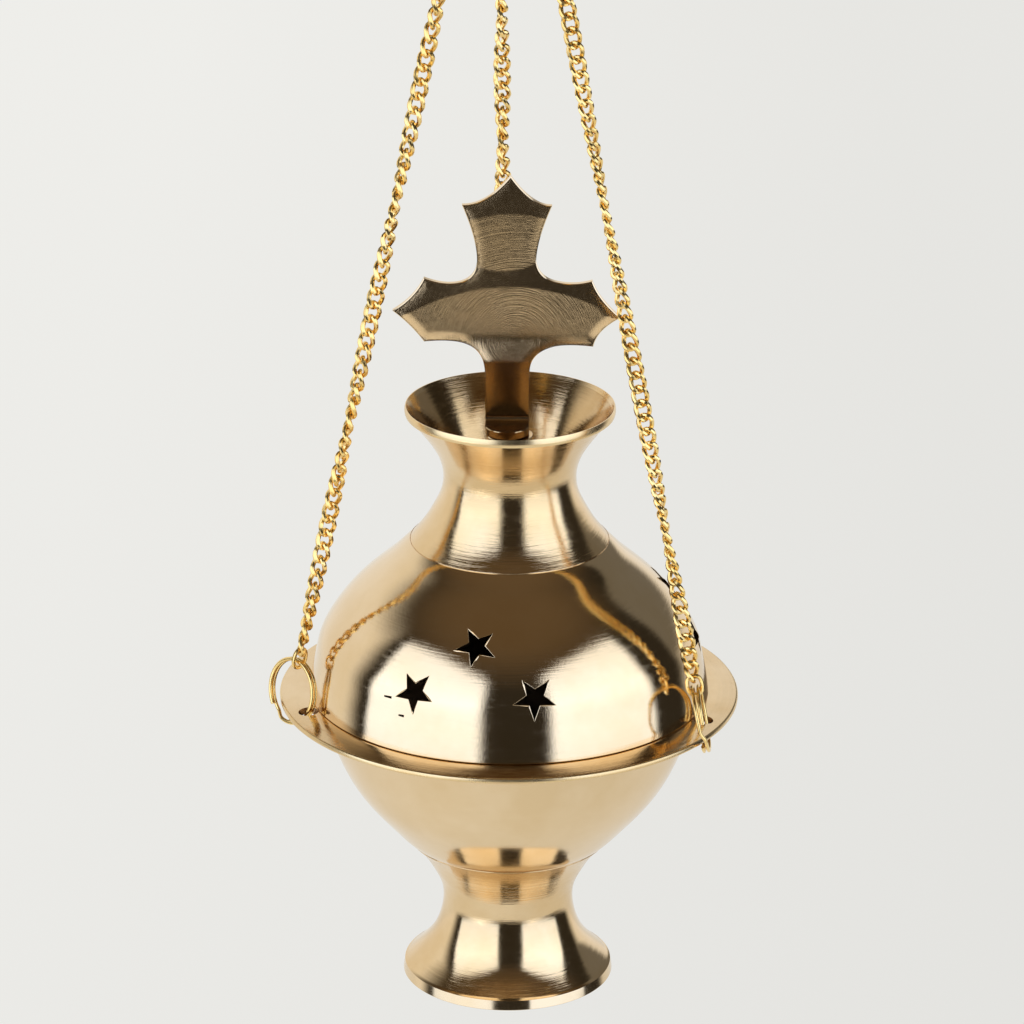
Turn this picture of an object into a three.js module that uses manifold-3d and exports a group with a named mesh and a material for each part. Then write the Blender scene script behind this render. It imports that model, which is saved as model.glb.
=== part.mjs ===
// Small brass censer: a footed bowl, a star-pierced lid with a cross, and three curb chains
// that meet at one ring. Millimetres, +Z up. Heights are counted from the top of the bowl's
// flange while the pieces are made; the finished group has its origin at the hang point,
// inside the top of the upper ring.

import * as THREE from 'three';
import { mergeVertices } from 'three/addons/utils/BufferGeometryUtils.js';
import Module from 'manifold-3d';

const wasm = await Module();
wasm.setup();

// Clearances
const SEAM = 0.3;
const LINK_GAP = 0.1;

// Facets
const ROUND_SIDES = 32;
const CURVE_STEPS = 9;
const SPLIT_RING_STEPS = 32;

// Lid dome
const DOME_RADIUS = 43;
const DOME_SHEET = 1.2;
const DOME_HEIGHT = 39.6;
const REGISTER_DEPTH = 2.5;
const REGISTER_WALL = 1.2;

// Bowl and its flange, which stands out round the dome
const FLANGE_LEDGE = 7;
const FLANGE_RADIUS = DOME_RADIUS + FLANGE_LEDGE;
const FLANGE_THICK = 1.2;
const BOWL_RADIUS = 41.6;
const BOWL_SHEET = 1.2;
const BOWL_DEPTH = 39.8;

// Neck and foot castings
const CAST_WALL = 1.3;
const NECK_SEAT_RADIUS = 21.5;
const NECK_WAIST_RADIUS = 14.35;
const NECK_WAIST_HEIGHT = 49.5;
const NECK_RIM_RADIUS = 22.66;
const NECK_RIM_HEIGHT = 65.3;
const NECK_RIM_BAND = 1.3;
const NECK_FLOOR_THICK = 1.5;
const NECK_BOSS_RADIUS = 5.05;
const NECK_BOSS_HEIGHT = 7.7;
const FOOT_SEAT_RADIUS = 22;
const FOOT_WAIST_RADIUS = 14.3;
const FOOT_WAIST_HEIGHT = -50;
const FOOT_RIM_RADIUS = 23.15;
const FOOT_RIM_HEIGHT = -67.05;
const FOOT_RIM_BAND = 2;

// Star windows in the lid
const STAR_POINTS = 5;
const STAR_TIP_RADIUS = 4.8;
const STAR_INNER_RADIUS = 2.1;
const STAR_CLUSTER_ANGLES = [-100.8, 14.2, 129.2];
const STAR_SPREAD = 18.5;
const UPPER_STAR_HEIGHT = 23;
const LOWER_STAR_HEIGHT = 13.8;

// Cross, cut from plate, and the pin that holds it on the neck's boss
const CROSS_PLATE = 1.7;
const CROSS_BACK = 3.15;
const CROSS_HEIGHT = 53.7;
const CROSS_ARM_HEIGHT = 24.2;
const CROSS_ARM_SPAN = 47.6;
const CROSS_STEM_WIDTH = 9.4;
const CROSS_BEND_RADIUS = 1;
const PIN_RADIUS = 1.5;
const PIN_HEAD_RADIUS = 3;
const PIN_HEAD_THICK = 1.2;
const PIN_COVER = 0.5;

// Flange holes, one for each chain: left, right and back
const CHAINS = [
  { name: 'left', holeAngle: -161.3, topOffset: -3.6 },
  { name: 'right', holeAngle: -23.6, topOffset: 3.6 },
  { name: 'back', holeAngle: 98, topOffset: -0.9 },
];
const HOLE_RADIUS = 2.15;
const HOLE_FROM_EDGE = 4.3;
const HOLE_CIRCLE_RADIUS = FLANGE_RADIUS - HOLE_FROM_EDGE;

// Split rings at the flange
const RING_DIAMETER = 14.8;
const RING_STRIP_THICK = 0.8;
const RING_STRIP_WIDTH = 0.7;
const RING_COIL_PITCH = 1;
const RING_SKEW = -67;
const RING_CHORD = 12;
const RING_JOG_ANGLE = -12;

// Upper ring
const TOP_RING_DIAMETER = 22;
const TOP_RING_STRIP_THICK = 1.2;
const TOP_RING_STRIP_WIDTH = 1;
const TOP_RING_COIL_PITCH = 1.3;
const TOP_RING_CENTRE_HEIGHT = 213.2;
const TOP_RING_OFFSET = -1.7;
const TOP_RING_JOG_ANGLE = 140;

// Curb chain
const LINK_WIRE = 0.8;
const LINK_WIDTH = 3.6;
const LINK_END_SHARE = 0.85;
const LINK_PITCH = 3.1;
const LINK_TWIST = 90;
const LOWER_LINK_COUNT = 13;
const KNEE_GAP = 0.75;

// End links between the chains and the rings
const END_LINK_WIRE = 0.9;
const END_LINK_OPENING = 3.4;
const TOP_LINK_WIRE = 0.9;
const TOP_LINK_OPENING = 4.5;
const TOP_LINK_PLAY = 0.4;

const radians = THREE.MathUtils.degToRad;
const UP = new THREE.Vector3(0, 0, 1);

// Turns a closed geometry into a solid that can be cut and joined.
function toSolid(geometry) {
  const bare = geometry.clone();
  bare.deleteAttribute('normal');
  bare.deleteAttribute('uv');
  const welded = mergeVertices(bare, 1e-4);
  const corners = welded.index.array;
  const triVerts = [];
  for (let i = 0; i < corners.length; i += 3) {
    const [a, b, c] = corners.slice(i, i + 3);
    if (a !== b && b !== c && c !== a) triVerts.push(a, b, c);
  }
  const vertProperties = new Float32Array(welded.attributes.position.array);
  return new wasm.Manifold(
    new wasm.Mesh({ numProp: 3, vertProperties, triVerts: new Uint32Array(triVerts) }),
  );
}

function toGeometry(solid) {
  const mesh = solid.getMesh();
  const geometry = new THREE.BufferGeometry();
  geometry.setAttribute('position', new THREE.BufferAttribute(mesh.vertProperties, 3));
  geometry.setIndex(new THREE.BufferAttribute(mesh.triVerts, 1));
  return geometry;
}

// A smooth run of [radius, height] points through the given stations.
function smoothRun(stations, steps = CURVE_STEPS) {
  const curve = new THREE.SplineCurve(stations.map(([r, z]) => new THREE.Vector2(r, z)));
  return curve.getSpacedPoints(steps);
}

// The same run moved square to itself; a positive wall moves an upward run towards the axis.
function shifted(points, wall) {
  return points.map((point, i) => {
    const before = points[Math.max(i - 1, 0)];
    const after = points[Math.min(i + 1, points.length - 1)];
    const along = after.clone().sub(before).normalize();
    return new THREE.Vector2(point.x - wall * along.y, point.y + wall * along.x);
  });
}

// The point of a run at one value of its 'x' (radius) or 'y' (height).
function crossing(points, key, value) {
  const next = points.findIndex((point, i) => (
    i > 0 && (points[i - 1][key] - value) * (point[key] - value) <= 0
  ));
  const [a, b] = [points[next - 1], points[next]];
  return a.clone().lerp(b, (value - a[key]) / (b[key] - a[key]));
}

const heightAt = (points, radius) => crossing(points, 'x', radius).y;
const radiusAt = (points, height) => crossing(points, 'y', height).x;

// Turns an outline of (radius, height) points about the Z axis. The outline runs
// anticlockwise, so that the skin faces out.
function turned(outline, sides = ROUND_SIDES) {
  const area = THREE.ShapeUtils.area(outline);
  const points = area > 0 ? outline : outline.slice().reverse();
  const geometry = new THREE.LatheGeometry(points, sides);
  return geometry.rotateX(Math.PI / 2);
}

function closedOutline(points) {
  return [...points, points[0].clone()];
}

const at = (radius, height) => new THREE.Vector2(radius, height);

// Outside of the bowl from the flange down to the middle of its bottom
const bowlOutside = smoothRun([
  [BOWL_RADIUS, -FLANGE_THICK],
  [0.938 * BOWL_RADIUS, -0.25 * BOWL_DEPTH],
  [0.798 * BOWL_RADIUS, -0.553 * BOWL_DEPTH],
  [0.637 * BOWL_RADIUS, -0.754 * BOWL_DEPTH],
  [0.529 * BOWL_RADIUS, -0.867 * BOWL_DEPTH],
  [0.29 * BOWL_RADIUS, -0.97 * BOWL_DEPTH],
  [0, -BOWL_DEPTH],
], CURVE_STEPS + 2);
const bowlInside = shifted(bowlOutside, -BOWL_SHEET);

// Outside of the lid from its edge up to the middle of its crown
const domeOutside = smoothRun([
  [DOME_RADIUS, SEAM],
  [0.996 * DOME_RADIUS, 0.177 * DOME_HEIGHT],
  [0.963 * DOME_RADIUS, 0.303 * DOME_HEIGHT],
  [0.823 * DOME_RADIUS, 0.556 * DOME_HEIGHT],
  [0.598 * DOME_RADIUS, 0.783 * DOME_HEIGHT],
  [0.5 * DOME_RADIUS, 0.872 * DOME_HEIGHT],
  [0.27 * DOME_RADIUS, 0.972 * DOME_HEIGHT],
  [0, DOME_HEIGHT],
], CURVE_STEPS + 4);

// Where a chain's split ring hangs: the hole, the line of its two contacts with the flange,
// and the frame of the ring, whose plane holds the chain's line of pull.
const ringRadius = (RING_DIAMETER - RING_STRIP_THICK) / 2;
const topRingRadius = (TOP_RING_DIAMETER - TOP_RING_STRIP_THICK) / 2;

const ringBandWidth = RING_COIL_PITCH + RING_STRIP_WIDTH;
const topRingBandWidth = TOP_RING_COIL_PITCH + TOP_RING_STRIP_WIDTH;

// How far a flat band stands off the round end of the link that is hooked over it
function bandStandOff(bandWidth) {
  const endRadius = bandWidth / 2 + SEAM;
  return endRadius - Math.sqrt(endRadius ** 2 - (bandWidth / 2) ** 2) + SEAM;
}

// The link on the upper ring points down its chain, with the ring's band in its top end and
// the chain's last wire in its lower end.
function topContact(topOffset, pivot) {
  const lean = Math.asin(topOffset / topRingRadius);
  const ringWire = new THREE.Vector3(
    TOP_RING_OFFSET + topOffset, 0, TOP_RING_CENTRE_HEIGHT - topRingRadius * Math.cos(lean),
  );
  const ringRun = new THREE.Vector3(Math.cos(lean), 0, Math.sin(lean));
  const axis = ringWire.clone().sub(pivot).normalize();
  const tilt = TOP_LINK_WIRE * Math.abs(ringRun.dot(axis)) + (topRingBandWidth / 2) * Math.abs(axis.y);
  const openingTop = TOP_RING_STRIP_THICK / 2 + tilt + bandStandOff(topRingBandWidth);
  const openingBottom = openingTop - TOP_LINK_OPENING;
  return {
    axis,
    linkCentre: ringWire.clone().addScaledVector(axis, (openingTop + openingBottom) / 2),
    wireCentre: ringWire.clone().addScaledVector(axis, openingBottom + TOP_LINK_PLAY + LINK_WIRE / 2),
  };
}

function hangLine({ holeAngle, topOffset }) {
  const hole = new THREE.Vector3(HOLE_CIRCLE_RADIUS, 0, -FLANGE_THICK / 2);
  hole.applyAxisAngle(UP, radians(holeAngle));
  const chordLine = new THREE.Vector3(1, 0, 0).applyAxisAngle(UP, radians(holeAngle + RING_SKEW));
  const pivot = hole.clone().addScaledVector(chordLine, RING_CHORD / 2);
  const top = topContact(topOffset, pivot);
  const rise = top.axis.clone().projectOnPlane(chordLine).normalize();
  const drop = Math.sqrt(ringRadius ** 2 - (RING_CHORD / 2) ** 2);
  const ringCentre = pivot.clone().addScaledVector(rise, drop);
  const along = top.wireCentre.clone().sub(ringCentre).normalize();
  const faceNormal = new THREE.Vector3().crossVectors(chordLine, rise).normalize();
  return { top, hole, chordLine, pivot, ringCentre, along, faceNormal };
}

const hangLines = CHAINS.map(hangLine);

// Bowl: spun cup with a wide drilled flange
function makeBowl() {
  const outline = [
    at(0, BOWL_SHEET - BOWL_DEPTH),
    ...bowlInside.slice(1, -1).reverse(),
    at(BOWL_RADIUS - BOWL_SHEET, 0),
    at(FLANGE_RADIUS, 0),
    at(FLANGE_RADIUS, -FLANGE_THICK),
    ...bowlOutside,
  ];
  let bowl = toSolid(turned(outline));
  for (const { hole } of hangLines) {
    const drill = new THREE.CylinderGeometry(HOLE_RADIUS, HOLE_RADIUS, 4 * FLANGE_THICK, 16);
    drill.rotateX(Math.PI / 2).translate(hole.x, hole.y, hole.z);
    bowl = bowl.subtract(toSolid(drill));
  }
  return toGeometry(bowl);
}

// A five-pointed window, cut square to the dome's skin
function starCutter(azimuth, height) {
  const shape = new THREE.Shape();
  for (let i = 0; i < 2 * STAR_POINTS; i += 1) {
    const radius = i % 2 === 0 ? STAR_TIP_RADIUS : STAR_INNER_RADIUS;
    const angle = -Math.PI / 2 + (i * Math.PI) / STAR_POINTS;
    const corner = at(radius * Math.cos(angle), radius * Math.sin(angle));
    if (i === 0) shape.moveTo(corner.x, corner.y);
    else shape.lineTo(corner.x, corner.y);
  }
  const depth = 8 * DOME_SHEET;
  const geometry = new THREE.ExtrudeGeometry(shape, { depth, bevelEnabled: false });
  geometry.translate(0, 0, -depth / 2);
  const reach = STAR_TIP_RADIUS / 2;
  const slope = crossing(domeOutside, 'y', height + reach)
    .sub(crossing(domeOutside, 'y', height - reach)).normalize();
  const across = new THREE.Vector3(0, 1, 0);
  const upSkin = new THREE.Vector3(slope.x, 0, slope.y);
  const outward = new THREE.Vector3(slope.y, 0, -slope.x);
  geometry.applyMatrix4(new THREE.Matrix4().makeBasis(across, upSkin, outward));
  geometry.translate(radiusAt(domeOutside, height), 0, height);
  return geometry.rotateZ(radians(azimuth));
}

// Lid dome: spun shell with a turned-in edge and a register that drops into the bowl's mouth
function makeDome() {
  const registerOuter = radiusAt(bowlInside, -REGISTER_DEPTH) - SEAM;
  const registerInner = registerOuter - REGISTER_WALL;
  const inside = shifted(domeOutside, DOME_SHEET);
  const edgeTop = SEAM + DOME_SHEET;
  const outline = [
    ...domeOutside.slice().reverse(),
    at(registerOuter, SEAM),
    at(registerOuter, -REGISTER_DEPTH),
    at(registerInner, -REGISTER_DEPTH),
    at(registerInner, edgeTop),
    at(DOME_RADIUS - DOME_SHEET, edgeTop),
    ...inside.slice(1, -1).filter((point) => point.y > edgeTop + SEAM),
    at(0, DOME_HEIGHT - DOME_SHEET),
  ];
  let dome = toSolid(turned(outline));
  for (const azimuth of STAR_CLUSTER_ANGLES) {
    const stars = [
      starCutter(azimuth, UPPER_STAR_HEIGHT),
      starCutter(azimuth - STAR_SPREAD, LOWER_STAR_HEIGHT),
      starCutter(azimuth + STAR_SPREAD, LOWER_STAR_HEIGHT),
    ];
    for (const star of stars) dome = dome.subtract(toSolid(star));
  }
  return toGeometry(dome);
}

// Neck: a cast trumpet that seats on the dome, with a floor and a boss for the cross
const neckSeatHeight = heightAt(domeOutside, NECK_SEAT_RADIUS) + SEAM;
const neckFloorTop = NECK_WAIST_HEIGHT + NECK_FLOOR_THICK;
const neckBossTop = neckFloorTop + NECK_BOSS_HEIGHT;

function makeNeck() {
  const outside = smoothRun([
    [NECK_SEAT_RADIUS, neckSeatHeight],
    [0.36 * NECK_SEAT_RADIUS + 0.64 * NECK_WAIST_RADIUS, 0.5 * (neckSeatHeight + NECK_WAIST_HEIGHT)],
    [NECK_WAIST_RADIUS, NECK_WAIST_HEIGHT],
    [0.89 * NECK_WAIST_RADIUS + 0.11 * NECK_RIM_RADIUS, NECK_WAIST_HEIGHT + 4.6],
    [0.61 * NECK_WAIST_RADIUS + 0.39 * NECK_RIM_RADIUS, NECK_WAIST_HEIGHT + 8.6],
    [NECK_RIM_RADIUS, NECK_RIM_HEIGHT - NECK_RIM_BAND],
  ]);
  const inside = shifted(outside, CAST_WALL);
  const cup = inside.filter((point) => point.y > neckFloorTop + SEAM);
  const skirt = inside.filter((point) => point.y < NECK_WAIST_HEIGHT - SEAM && point.x < NECK_SEAT_RADIUS);
  const throat = NECK_WAIST_RADIUS - CAST_WALL;
  const skirtEdge = NECK_SEAT_RADIUS - CAST_WALL;
  const bore = PIN_RADIUS + SEAM;
  const outline = [
    ...outside,
    at(NECK_RIM_RADIUS, NECK_RIM_HEIGHT),
    at(NECK_RIM_RADIUS - CAST_WALL, NECK_RIM_HEIGHT),
    ...cup.slice(0, -1).reverse(),
    at(throat, neckFloorTop),
    at(NECK_BOSS_RADIUS, neckFloorTop),
    at(NECK_BOSS_RADIUS, neckBossTop),
    at(bore, neckBossTop),
    at(bore, NECK_WAIST_HEIGHT),
    at(throat, NECK_WAIST_HEIGHT),
    ...skirt.slice(1).reverse(),
    at(skirtEdge, heightAt(domeOutside, skirtEdge) + SEAM),
  ];
  return turned(closedOutline(outline));
}

// Foot: a cast trumpet, open below, that seats under the bowl
function makeFoot() {
  const seatHeight = heightAt(bowlOutside, FOOT_SEAT_RADIUS) - SEAM;
  const outside = smoothRun([
    [FOOT_SEAT_RADIUS, seatHeight],
    [0.3 * FOOT_SEAT_RADIUS + 0.7 * FOOT_WAIST_RADIUS, 0.5 * (seatHeight + FOOT_WAIST_HEIGHT)],
    [FOOT_WAIST_RADIUS, FOOT_WAIST_HEIGHT],
    [0.93 * FOOT_WAIST_RADIUS + 0.07 * FOOT_RIM_RADIUS, FOOT_WAIST_HEIGHT - 4],
    [0.72 * FOOT_WAIST_RADIUS + 0.28 * FOOT_RIM_RADIUS, FOOT_WAIST_HEIGHT - 8.4],
    [FOOT_RIM_RADIUS, FOOT_RIM_HEIGHT + FOOT_RIM_BAND],
  ]);
  const inside = shifted(outside, -CAST_WALL).slice(1, -1);
  const seatEdge = FOOT_SEAT_RADIUS - CAST_WALL;
  const outline = [
    ...outside,
    at(FOOT_RIM_RADIUS, FOOT_RIM_HEIGHT),
    at(FOOT_RIM_RADIUS - FOOT_RIM_BAND, FOOT_RIM_HEIGHT),
    ...inside.reverse(),
    at(seatEdge, heightAt(bowlOutside, seatEdge) - SEAM),
  ];
  return turned(closedOutline(outline));
}

// Cross: plate with hollow-cut edges; its foot bends forward into a round-ended tab
const tabBottom = neckBossTop + SEAM;
const tabTop = tabBottom + CROSS_PLATE;

function crossShape() {
  const span = CROSS_ARM_SPAN / 2;
  const stem = CROSS_STEM_WIDTH / 2;
  const tip = tabTop + CROSS_HEIGHT;
  const arm = tabTop + CROSS_ARM_HEIGHT;
  const low = tabTop + CROSS_BEND_RADIUS;
  const right = [
    [stem, low],
    [stem, arm - 12],
    ['curve', stem + 0.7, arm - 6.8, stem + 7.7, arm - 5.8],
    ['curve', stem + 10.3, arm - 5.8, span - 6, arm - 6.5],
    ['curve', span - 4.8, arm - 3.6, span, arm],
    ['curve', span - 4.9, arm + 3.8, span - 6.1, arm + 7],
    ['curve', span - 8.8, arm + 5.9, span - 11.6, arm + 5.9],
    ['curve', stem + 1.3, arm + 5.9, stem + 1.3, arm + 11.4],
    ['curve', stem + 1.3, arm + 15.6, stem + 4.5, arm + 23.4],
    ['curve', stem + 1.5, tip - 7.7, 0, tip],
  ];
  const shape = new THREE.Shape();
  const outline = new THREE.Path();
  outline.moveTo(...right[0]);
  for (const step of right.slice(1)) {
    if (step[0] === 'curve') outline.quadraticCurveTo(...step.slice(1));
    else outline.lineTo(...step);
  }
  const half = outline.getPoints(5);
  const left = half.slice(0, -1).reverse().map((point) => at(-point.x, point.y));
  return shape.setFromPoints([...half, ...left]);
}

function makeCross() {
  const plate = new THREE.ExtrudeGeometry(crossShape(), { depth: CROSS_PLATE, bevelEnabled: false });
  plate.rotateX(Math.PI / 2).translate(0, CROSS_BACK + CROSS_PLATE, 0);

  // Side view of the bent foot, extruded across the stem
  const bend = new THREE.Shape();
  const centre = at(CROSS_BACK - CROSS_BEND_RADIUS, tabTop + CROSS_BEND_RADIUS);
  const overlap = 0.5;
  const tabReach = CROSS_STEM_WIDTH / 2;
  bend.moveTo(-tabReach, tabBottom);
  bend.lineTo(centre.x, tabBottom);
  bend.absarc(centre.x, centre.y, CROSS_BEND_RADIUS + CROSS_PLATE, -Math.PI / 2, 0, false);
  bend.lineTo(CROSS_BACK + CROSS_PLATE, centre.y + overlap);
  bend.lineTo(CROSS_BACK, centre.y + overlap);
  bend.absarc(centre.x, centre.y, CROSS_BEND_RADIUS, 0, -Math.PI / 2, true);
  bend.lineTo(-tabReach, tabTop);
  const foot = new THREE.ExtrudeGeometry(bend, {
    depth: CROSS_STEM_WIDTH, bevelEnabled: false, curveSegments: 5,
  });
  foot.applyMatrix4(new THREE.Matrix4().makeBasis(
    new THREE.Vector3(0, 1, 0), new THREE.Vector3(0, 0, 1), new THREE.Vector3(1, 0, 0),
  ));
  foot.translate(-CROSS_STEM_WIDTH / 2, 0, 0);

  // Plan of the foot: straight sides and a round front end
  const plan = new THREE.Shape();
  plan.moveTo(-tabReach, CROSS_BACK + 2 * CROSS_PLATE);
  plan.lineTo(-tabReach, 0);
  plan.absarc(0, 0, tabReach, Math.PI, 2 * Math.PI, false);
  plan.lineTo(tabReach, CROSS_BACK + 2 * CROSS_PLATE);
  const planSolid = new THREE.ExtrudeGeometry(plan, {
    depth: 4 * CROSS_PLATE, bevelEnabled: false, curveSegments: 8,
  });
  planSolid.translate(0, 0, tabBottom - CROSS_PLATE);

  const pinHole = new THREE.CylinderGeometry(
    PIN_RADIUS + SEAM, PIN_RADIUS + SEAM, 2 * (CROSS_PLATE - PIN_COVER), 16,
  );
  pinHole.rotateX(Math.PI / 2).translate(0, 0, tabBottom);
  const bentFoot = toSolid(foot).intersect(toSolid(planSolid)).subtract(toSolid(pinHole));
  return toGeometry(toSolid(plate).add(bentFoot));
}

// Pin: headed below the neck's floor, its top end sunk blind in the tab
function makeCrossPin() {
  const headTop = NECK_WAIST_HEIGHT - SEAM;
  const outline = [
    at(0, headTop - PIN_HEAD_THICK),
    at(PIN_HEAD_RADIUS, headTop - PIN_HEAD_THICK),
    at(PIN_HEAD_RADIUS, headTop),
    at(PIN_RADIUS, headTop),
    at(PIN_RADIUS, tabTop - PIN_COVER - SEAM),
    at(0, tabTop - PIN_COVER - SEAM),
  ];
  return turned(outline, ROUND_SIDES / 2);
}

// Path of a split ring's strip: two flat turns side by side, with one short step between them
class SplitRingPath extends THREE.Curve {
  constructor(radius, coilPitch, jogAngle) {
    super();
    this.radius = radius;
    this.coilPitch = coilPitch;
    this.jogAngle = radians(jogAngle);
  }

  getPoint(t) {
    const jog = radians(24);
    const turn = jog + t * (4 * Math.PI - 2 * jog);
    const step = THREE.MathUtils.smoothstep(turn, 2 * Math.PI - jog / 2, 2 * Math.PI + jog / 2);
    const angle = this.jogAngle + turn;
    return new THREE.Vector3(
      this.radius * Math.cos(angle),
      this.radius * Math.sin(angle),
      this.coilPitch * (step - 0.5),
    );
  }
}

function splitRing(radius, stripThick, stripWidth, coilPitch, jogAngle) {
  const strip = new THREE.Shape();
  strip.moveTo(-stripWidth / 2, -stripThick / 2);
  strip.lineTo(stripWidth / 2, -stripThick / 2);
  strip.lineTo(stripWidth / 2, stripThick / 2);
  strip.lineTo(-stripWidth / 2, stripThick / 2);
  const extrudePath = new SplitRingPath(radius, coilPitch, jogAngle);
  return new THREE.ExtrudeGeometry(strip, { steps: SPLIT_RING_STEPS, extrudePath });
}

// Corners of a wire round each stop of a closed loop; every stop has a point and the
// direction square to the loop's own plane there. The sections have the wire's own area, and
// their first side faces the loop's inside.
function wireCorners(stops, wire, sides) {
  const turnAngle = (2 * Math.PI) / sides;
  const reach = (wire / 2) * Math.sqrt(turnAngle / Math.sin(turnAngle));
  return stops.map(({ point, side }, i) => {
    const before = stops[(i + stops.length - 1) % stops.length].point;
    const after = stops[(i + 1) % stops.length].point;
    const along = after.clone().sub(before).normalize();
    const mitre = 1 / after.clone().sub(point).normalize().dot(along);
    const inward = new THREE.Vector3().crossVectors(along, side).normalize();
    const across = new THREE.Vector3().crossVectors(inward, along);
    return Array.from({ length: sides }, (_, k) => {
      const angle = (k - 0.5) * turnAngle;
      return point.clone()
        .addScaledVector(inward, mitre * reach * Math.cos(angle))
        .addScaledVector(across, reach * Math.sin(angle));
    });
  });
}

// Faces between the sections of a closed loop, as lists of corner points. The faces that
// are named as open, by stop and side, are left out.
function loopFaces(corners, open = []) {
  const faces = [];
  const sides = corners[0].length;
  corners.forEach((section, i) => {
    const next = corners[(i + 1) % corners.length];
    for (let k = 0; k < sides; k += 1) {
      const m = (k + 1) % sides;
      if (!open.some(([stop, side]) => stop === i && side === k)) {
        faces.push([section[k], next[k], section[m]], [section[m], next[k], next[m]]);
      }
    }
  });
  return faces;
}

function facesToGeometry(faces) {
  const points = faces.flat();
  const geometry = new THREE.BufferGeometry().setFromPoints(points);
  return mergeVertices(geometry, 1e-4);
}

// Stops of one curb link: long along Z, wide along X, with its ends twisted opposite ways
const linkHalfLength = (LINK_PITCH + LINK_GAP + LINK_WIRE * Math.sqrt(Math.PI / 4)) / 2;
const TOP_STOP = 0;
const BOTTOM_STOP = 3;
const INNER_SIDE = 0;

function curbLinkStops() {
  const halfWidth = (LINK_WIDTH - LINK_WIRE) / 2;
  const endHalfWidth = LINK_END_SHARE * halfWidth;
  const corners = [
    [endHalfWidth, linkHalfLength],
    [-endHalfWidth, linkHalfLength],
    [-halfWidth, 0],
    [-endHalfWidth, -linkHalfLength],
    [endHalfWidth, -linkHalfLength],
    [halfWidth, 0],
  ];
  return corners.map(([x, z]) => {
    const twist = (radians(LINK_TWIST) / 2) * (z / linkHalfLength);
    return {
      point: new THREE.Vector3(x, 0, z).applyAxisAngle(UP, twist),
      side: new THREE.Vector3(0, 1, 0).applyAxisAngle(UP, twist),
    };
  });
}

// The inner face of a link's end bar, as four corners in order round it
function endFace(corners, stop) {
  const [a, b] = [corners[stop], corners[stop + 1]];
  return [a[INNER_SIDE], b[INNER_SIDE], b[INNER_SIDE + 1], a[INNER_SIDE + 1]];
}

// A run of interlocked links. Each link's inner end face meets the next one's across the
// small gap between them, so that the run is one body.
function chainRun(frames) {
  const links = frames.map((frame) => (
    wireCorners(curbLinkStops(), LINK_WIRE, 4).map((section) => (
      section.map((corner) => corner.applyMatrix4(frame))
    ))
  ));
  const faces = links.flatMap((corners, i) => {
    const open = [];
    if (i < links.length - 1) open.push([TOP_STOP, INNER_SIDE]);
    if (i > 0) open.push([BOTTOM_STOP, INNER_SIDE]);
    return loopFaces(corners, open);
  });
  for (let i = 1; i < links.length; i += 1) {
    const upper = endFace(links[i - 1], TOP_STOP);
    const lower = endFace(links[i], BOTTOM_STOP).reverse();
    const nearest = (corner) => lower.reduce((best, other, k) => (
      other.distanceTo(corner) < lower[best].distanceTo(corner) ? k : best
    ), 0);
    const start = nearest(upper[0]);
    for (let k = 0; k < 4; k += 1) {
      const [a, b] = [upper[k], upper[(k + 1) % 4]];
      const [c, d] = [lower[(start + k) % 4], lower[(start + k + 1) % 4]];
      faces.push([a, b, c], [b, d, c]);
    }
  }
  return facesToGeometry(faces);
}

// Plain link: long along Z, in the XZ plane, with round ends
function plainLink(opening, openingWidth, wire) {
  const bend = (openingWidth + wire) / 2;
  const straight = (opening + wire) / 2 - bend;
  const endSteps = 5;
  const stops = [];
  for (const end of [1, -1]) {
    for (let i = 0; i <= endSteps; i += 1) {
      const angle = (Math.PI * i) / endSteps + (end > 0 ? 0 : Math.PI);
      const point = new THREE.Vector3(bend * Math.cos(angle), 0, end * straight + bend * Math.sin(angle));
      stops.push({ point, side: new THREE.Vector3(0, 1, 0) });
    }
  }
  return facesToGeometry(loopFaces(wireCorners(stops, wire, 6)));
}

// Frame with its origin at a centre, its Z along one direction and its X as near as can be
// to another.
function frameAt(centre, zDirection, xDirection) {
  const z = zDirection.clone().normalize();
  const y = new THREE.Vector3().crossVectors(z, xDirection).normalize();
  const x = new THREE.Vector3().crossVectors(y, z);
  return new THREE.Matrix4().makeBasis(x, y, z).setPosition(centre);
}

// Signed angle from one direction to another about an axis, folded into a quarter turn
// each way, because a wire points both ways.
function foldedAngle(from, to, axis) {
  const flatFrom = from.clone().projectOnPlane(axis).normalize();
  const flatTo = to.clone().projectOnPlane(axis).normalize();
  const sine = new THREE.Vector3().crossVectors(flatFrom, flatTo).dot(axis);
  const angle = Math.atan2(sine, flatFrom.dot(flatTo));
  return angle - Math.PI * Math.round(angle / Math.PI);
}

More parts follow.
